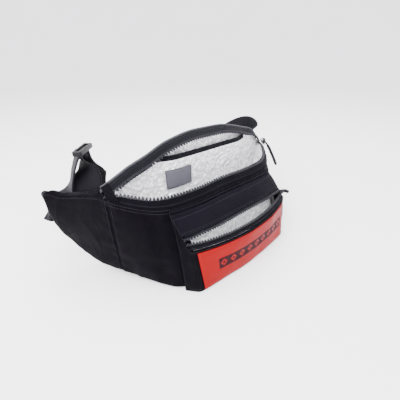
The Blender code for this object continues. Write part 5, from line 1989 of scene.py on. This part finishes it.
class BagColours(PropertyGroup):
    nylon: colour_setting("Nylon", "Colour of the bag's cloth", (0.0015, 0.0012, 0.0024))
    # Painted light: a lighter copy of the nylon's colour for the upward-facing pocket top and the
    # welt.
    lit_pocket_top: colour_setting("Pocket top", "Colour of the pocket's sloping top",
                         (0.0036, 0.0030, 0.0056))
    foil: colour_setting("Lining", "Colour of the main lining", (0.96, 0.96, 0.985))
    pocket_foil: colour_setting("Pocket lining", "Colour of the pocket's lining",
                                (0.93, 0.94, 0.97))
    tape: colour_setting("Zip tape", "Colour of the front and pocket tapes",
                         (0.0026, 0.0023, 0.0040))
    # Painted light: a lighter copy of the zip tape's colour, used on the rear tape and the
    # binding.
    lit_rear_tape: colour_setting("Rear tape", "Colour of the rear tape and the binding",
                              (0.0052, 0.0054, 0.0076))
    teeth: colour_setting("Teeth", "Colour of the zip teeth", (0.0090, 0.0090, 0.0120))
    plastic: colour_setting("Plastic", "Colour of the slide and the clasp",
                            (0.007, 0.007, 0.009))
    thread: colour_setting("Thread", "Colour of the sewing thread", (0.016, 0.015, 0.021))
    label_thread: colour_setting("Label thread", "Colour of the label's thread",
                                 (0.11, 0.11, 0.13))
    patch_thread: colour_setting("Patch thread", "Colour of the thread round the panel",
                                 (0.30, 0.006, 0.008))
    webbing: colour_setting("Webbing", "Colour of the belt", (0.0095, 0.0088, 0.0125))
    # Painted highlight: grey that stands in for the sheen on the rolled rim's black cloth.
    piping: colour_setting("Piping", "Colour of the rolled rim", (0.060, 0.060, 0.070))
    leather: colour_setting("Leather", "Colour of the label", (0.088, 0.087, 0.106))
    red: colour_setting("Patch", "Colour of the panel on the pocket", (0.185, 0.0009, 0.0014))
    band: colour_setting("Band", "Colour of the panel's dark band", (0.005, 0.003, 0.005))
    floor: colour_setting("Floor", "Colour of the floor", (0.88, 0.87, 0.895))


class BagSizes(PropertyGroup):
    tooth_pitch: FloatProperty(
        name="Tooth pitch", description="Distance between two teeth of the main zip",
        default=0.0044, min=0.002, unit="LENGTH")
    pocket_tooth_pitch: FloatProperty(
        name="Pocket tooth pitch", description="Distance between two teeth of the pocket's zip",
        default=0.0038, min=0.002, unit="LENGTH")
    fold_depth: FloatProperty(
        name="Fold depth", description="How deep the dents and folds of the cloth are",
        default=0.0026, min=0.0, unit="LENGTH")
    crinkle_depth: FloatProperty(
        name="Crinkle depth", description="How far the foil's creases stand out",
        default=0.0024, min=0.0, unit="LENGTH")


def make_belt():
    """The webbing, its slide and its clasp."""
    fold = make_strap("left_strap", LEFT_STRAP_ROUTE, 12)
    left = make_strap("left_belt", LEFT_BELT_ROUTE, 13)
    right = make_strap("right_belt", RIGHT_BELT_ROUTE, 14)
    make_slide(fold, left)
    make_buckle(left, right)


class BAG_OT_finishes(Operator):
    """Build every material of the bag"""
    bl_idname = "waist_bag.finishes"
    bl_label = "Finishes"

    def execute(self, context):
        make_materials()
        return {"FINISHED"}


class BAG_OT_shell(Operator):
    """Build the front, bottom and back panels"""
    bl_idname = "waist_bag.shell"
    bl_label = "Shell"

    def execute(self, context):
        make_shell()
        return {"FINISHED"}


class BAG_OT_wings(Operator):
    """Build both tapering wings"""
    bl_idname = "waist_bag.wings"
    bl_label = "Wings"

    def execute(self, context):
        make_wings()
        return {"FINISHED"}


class BAG_OT_lining(Operator):
    """Build the crumpled foil in the main bag"""
    bl_idname = "waist_bag.lining"
    bl_label = "Main lining"

    def execute(self, context):
        make_lining()
        return {"FINISHED"}


class BAG_OT_slip_pocket(Operator):
    """Build the pocket on the rear wall"""
    bl_idname = "waist_bag.slip_pocket"
    bl_label = "Inner pocket"

    def execute(self, context):
        make_slip_pocket()
        return {"FINISHED"}


class BAG_OT_label(Operator):
    """Build the leather label"""
    bl_idname = "waist_bag.label"
    bl_label = "Label"

    def execute(self, context):
        make_label()
        return {"FINISHED"}


class BAG_OT_main_zip(Operator):
    """Build tapes, teeth and the rolled rim"""
    bl_idname = "waist_bag.main_zip"
    bl_label = "Main zip"

    def execute(self, context):
        make_main_zip()
        make_zip_tab()
        make_rim()
        return {"FINISHED"}


class BAG_OT_pocket(Operator):
    """Build the pocket's walls"""
    bl_idname = "waist_bag.pocket"
    bl_label = "Front pocket"

    def execute(self, context):
        make_pocket_shell()
        make_pocket_top()
        make_pocket_floor()
        return {"FINISHED"}


class BAG_OT_welt(Operator):
    """Build the seam above the pocket"""
    bl_idname = "waist_bag.welt"
    bl_label = "Pocket welt"

    def execute(self, context):
        make_welt()
        return {"FINISHED"}


class BAG_OT_pocket_lining(Operator):
    """Build the foil in the pocket"""
    bl_idname = "waist_bag.pocket_lining"
    bl_label = "Pocket lining"

    def execute(self, context):
        make_pocket_lining()
        return {"FINISHED"}


class BAG_OT_patch(Operator):
    """Build the red panel"""
    bl_idname = "waist_bag.patch"
    bl_label = "Patch"

    def execute(self, context):
        make_patch()
        return {"FINISHED"}


class BAG_OT_pocket_zip(Operator):
    """Build the pocket's tapes and teeth"""
    bl_idname = "waist_bag.pocket_zip"
    bl_label = "Pocket zip"

    def execute(self, context):
        make_pocket_zip()
        return {"FINISHED"}


class BAG_OT_sliders(Operator):
    """Build both sliders and their pulls"""
    bl_idname = "waist_bag.sliders"
    bl_label = "Sliders"

    def execute(self, context):
        make_sliders()
        return {"FINISHED"}


class BAG_OT_belt(Operator):
    """Build the webbing, the slide and the clasp"""
    bl_idname = "waist_bag.belt"
    bl_label = "Belt"

    def execute(self, context):
        make_belt()
        return {"FINISHED"}


class BAG_OT_stage(Operator):
    """Build the floor, the lights and the camera"""
    bl_idname = "waist_bag.stage"
    bl_label = "Stage"

    def execute(self, context):
        make_stage()
        return {"FINISHED"}


OPERATORS = (
    BAG_OT_finishes, BAG_OT_shell, BAG_OT_wings, BAG_OT_lining, BAG_OT_slip_pocket,
    BAG_OT_label, BAG_OT_main_zip, BAG_OT_pocket, BAG_OT_welt, BAG_OT_pocket_lining,
    BAG_OT_patch, BAG_OT_pocket_zip, BAG_OT_sliders, BAG_OT_belt, BAG_OT_stage,
)


class BAG_PT_steps(Panel):
    """Lists the steps and the settings of the bag"""
    bl_label = "Waist bag"
    bl_idname = "BAG_PT_steps"
    bl_space_type = "VIEW_3D"
    bl_region_type = "UI"
    bl_category = "Waist bag"

    def draw(self, context):
        column = self.layout.column()
        for settings in (context.scene.bag_sizes, context.scene.bag_colours):
            for name in settings.__annotations__:
                column.prop(settings, name)
        for step in OPERATORS:
            column.operator(step.bl_idname)


CLASSES = (BagColours, BagSizes, *OPERATORS, BAG_PT_steps)


def register():
    """Make the settings, the operators and the panel known."""
    for item in CLASSES:
        bpy.utils.register_class(item)
    bpy.types.Scene.bag_colours = PointerProperty(type=BagColours)
    bpy.types.Scene.bag_sizes = PointerProperty(type=BagSizes)


def unregister():
    """Take them out again."""
    del bpy.types.Scene.bag_sizes
    del bpy.types.Scene.bag_colours
    for item in reversed(CLASSES):
        bpy.utils.unregister_class(item)


def main():
    """Build the bag step by step."""
    register()
    bpy.ops.waist_bag.finishes()
    bpy.ops.waist_bag.shell()
    bpy.ops.waist_bag.wings()
    bpy.ops.waist_bag.lining()
    bpy.ops.waist_bag.slip_pocket()
    bpy.ops.waist_bag.label()
    bpy.ops.waist_bag.main_zip()
    bpy.ops.waist_bag.pocket()
    bpy.ops.waist_bag.welt()
    bpy.ops.waist_bag.pocket_lining()
    bpy.ops.waist_bag.patch()
    bpy.ops.waist_bag.pocket_zip()
    bpy.ops.waist_bag.sliders()
    bpy.ops.waist_bag.belt()
    bpy.ops.waist_bag.stage()


if __name__ == "__main__":
    main()
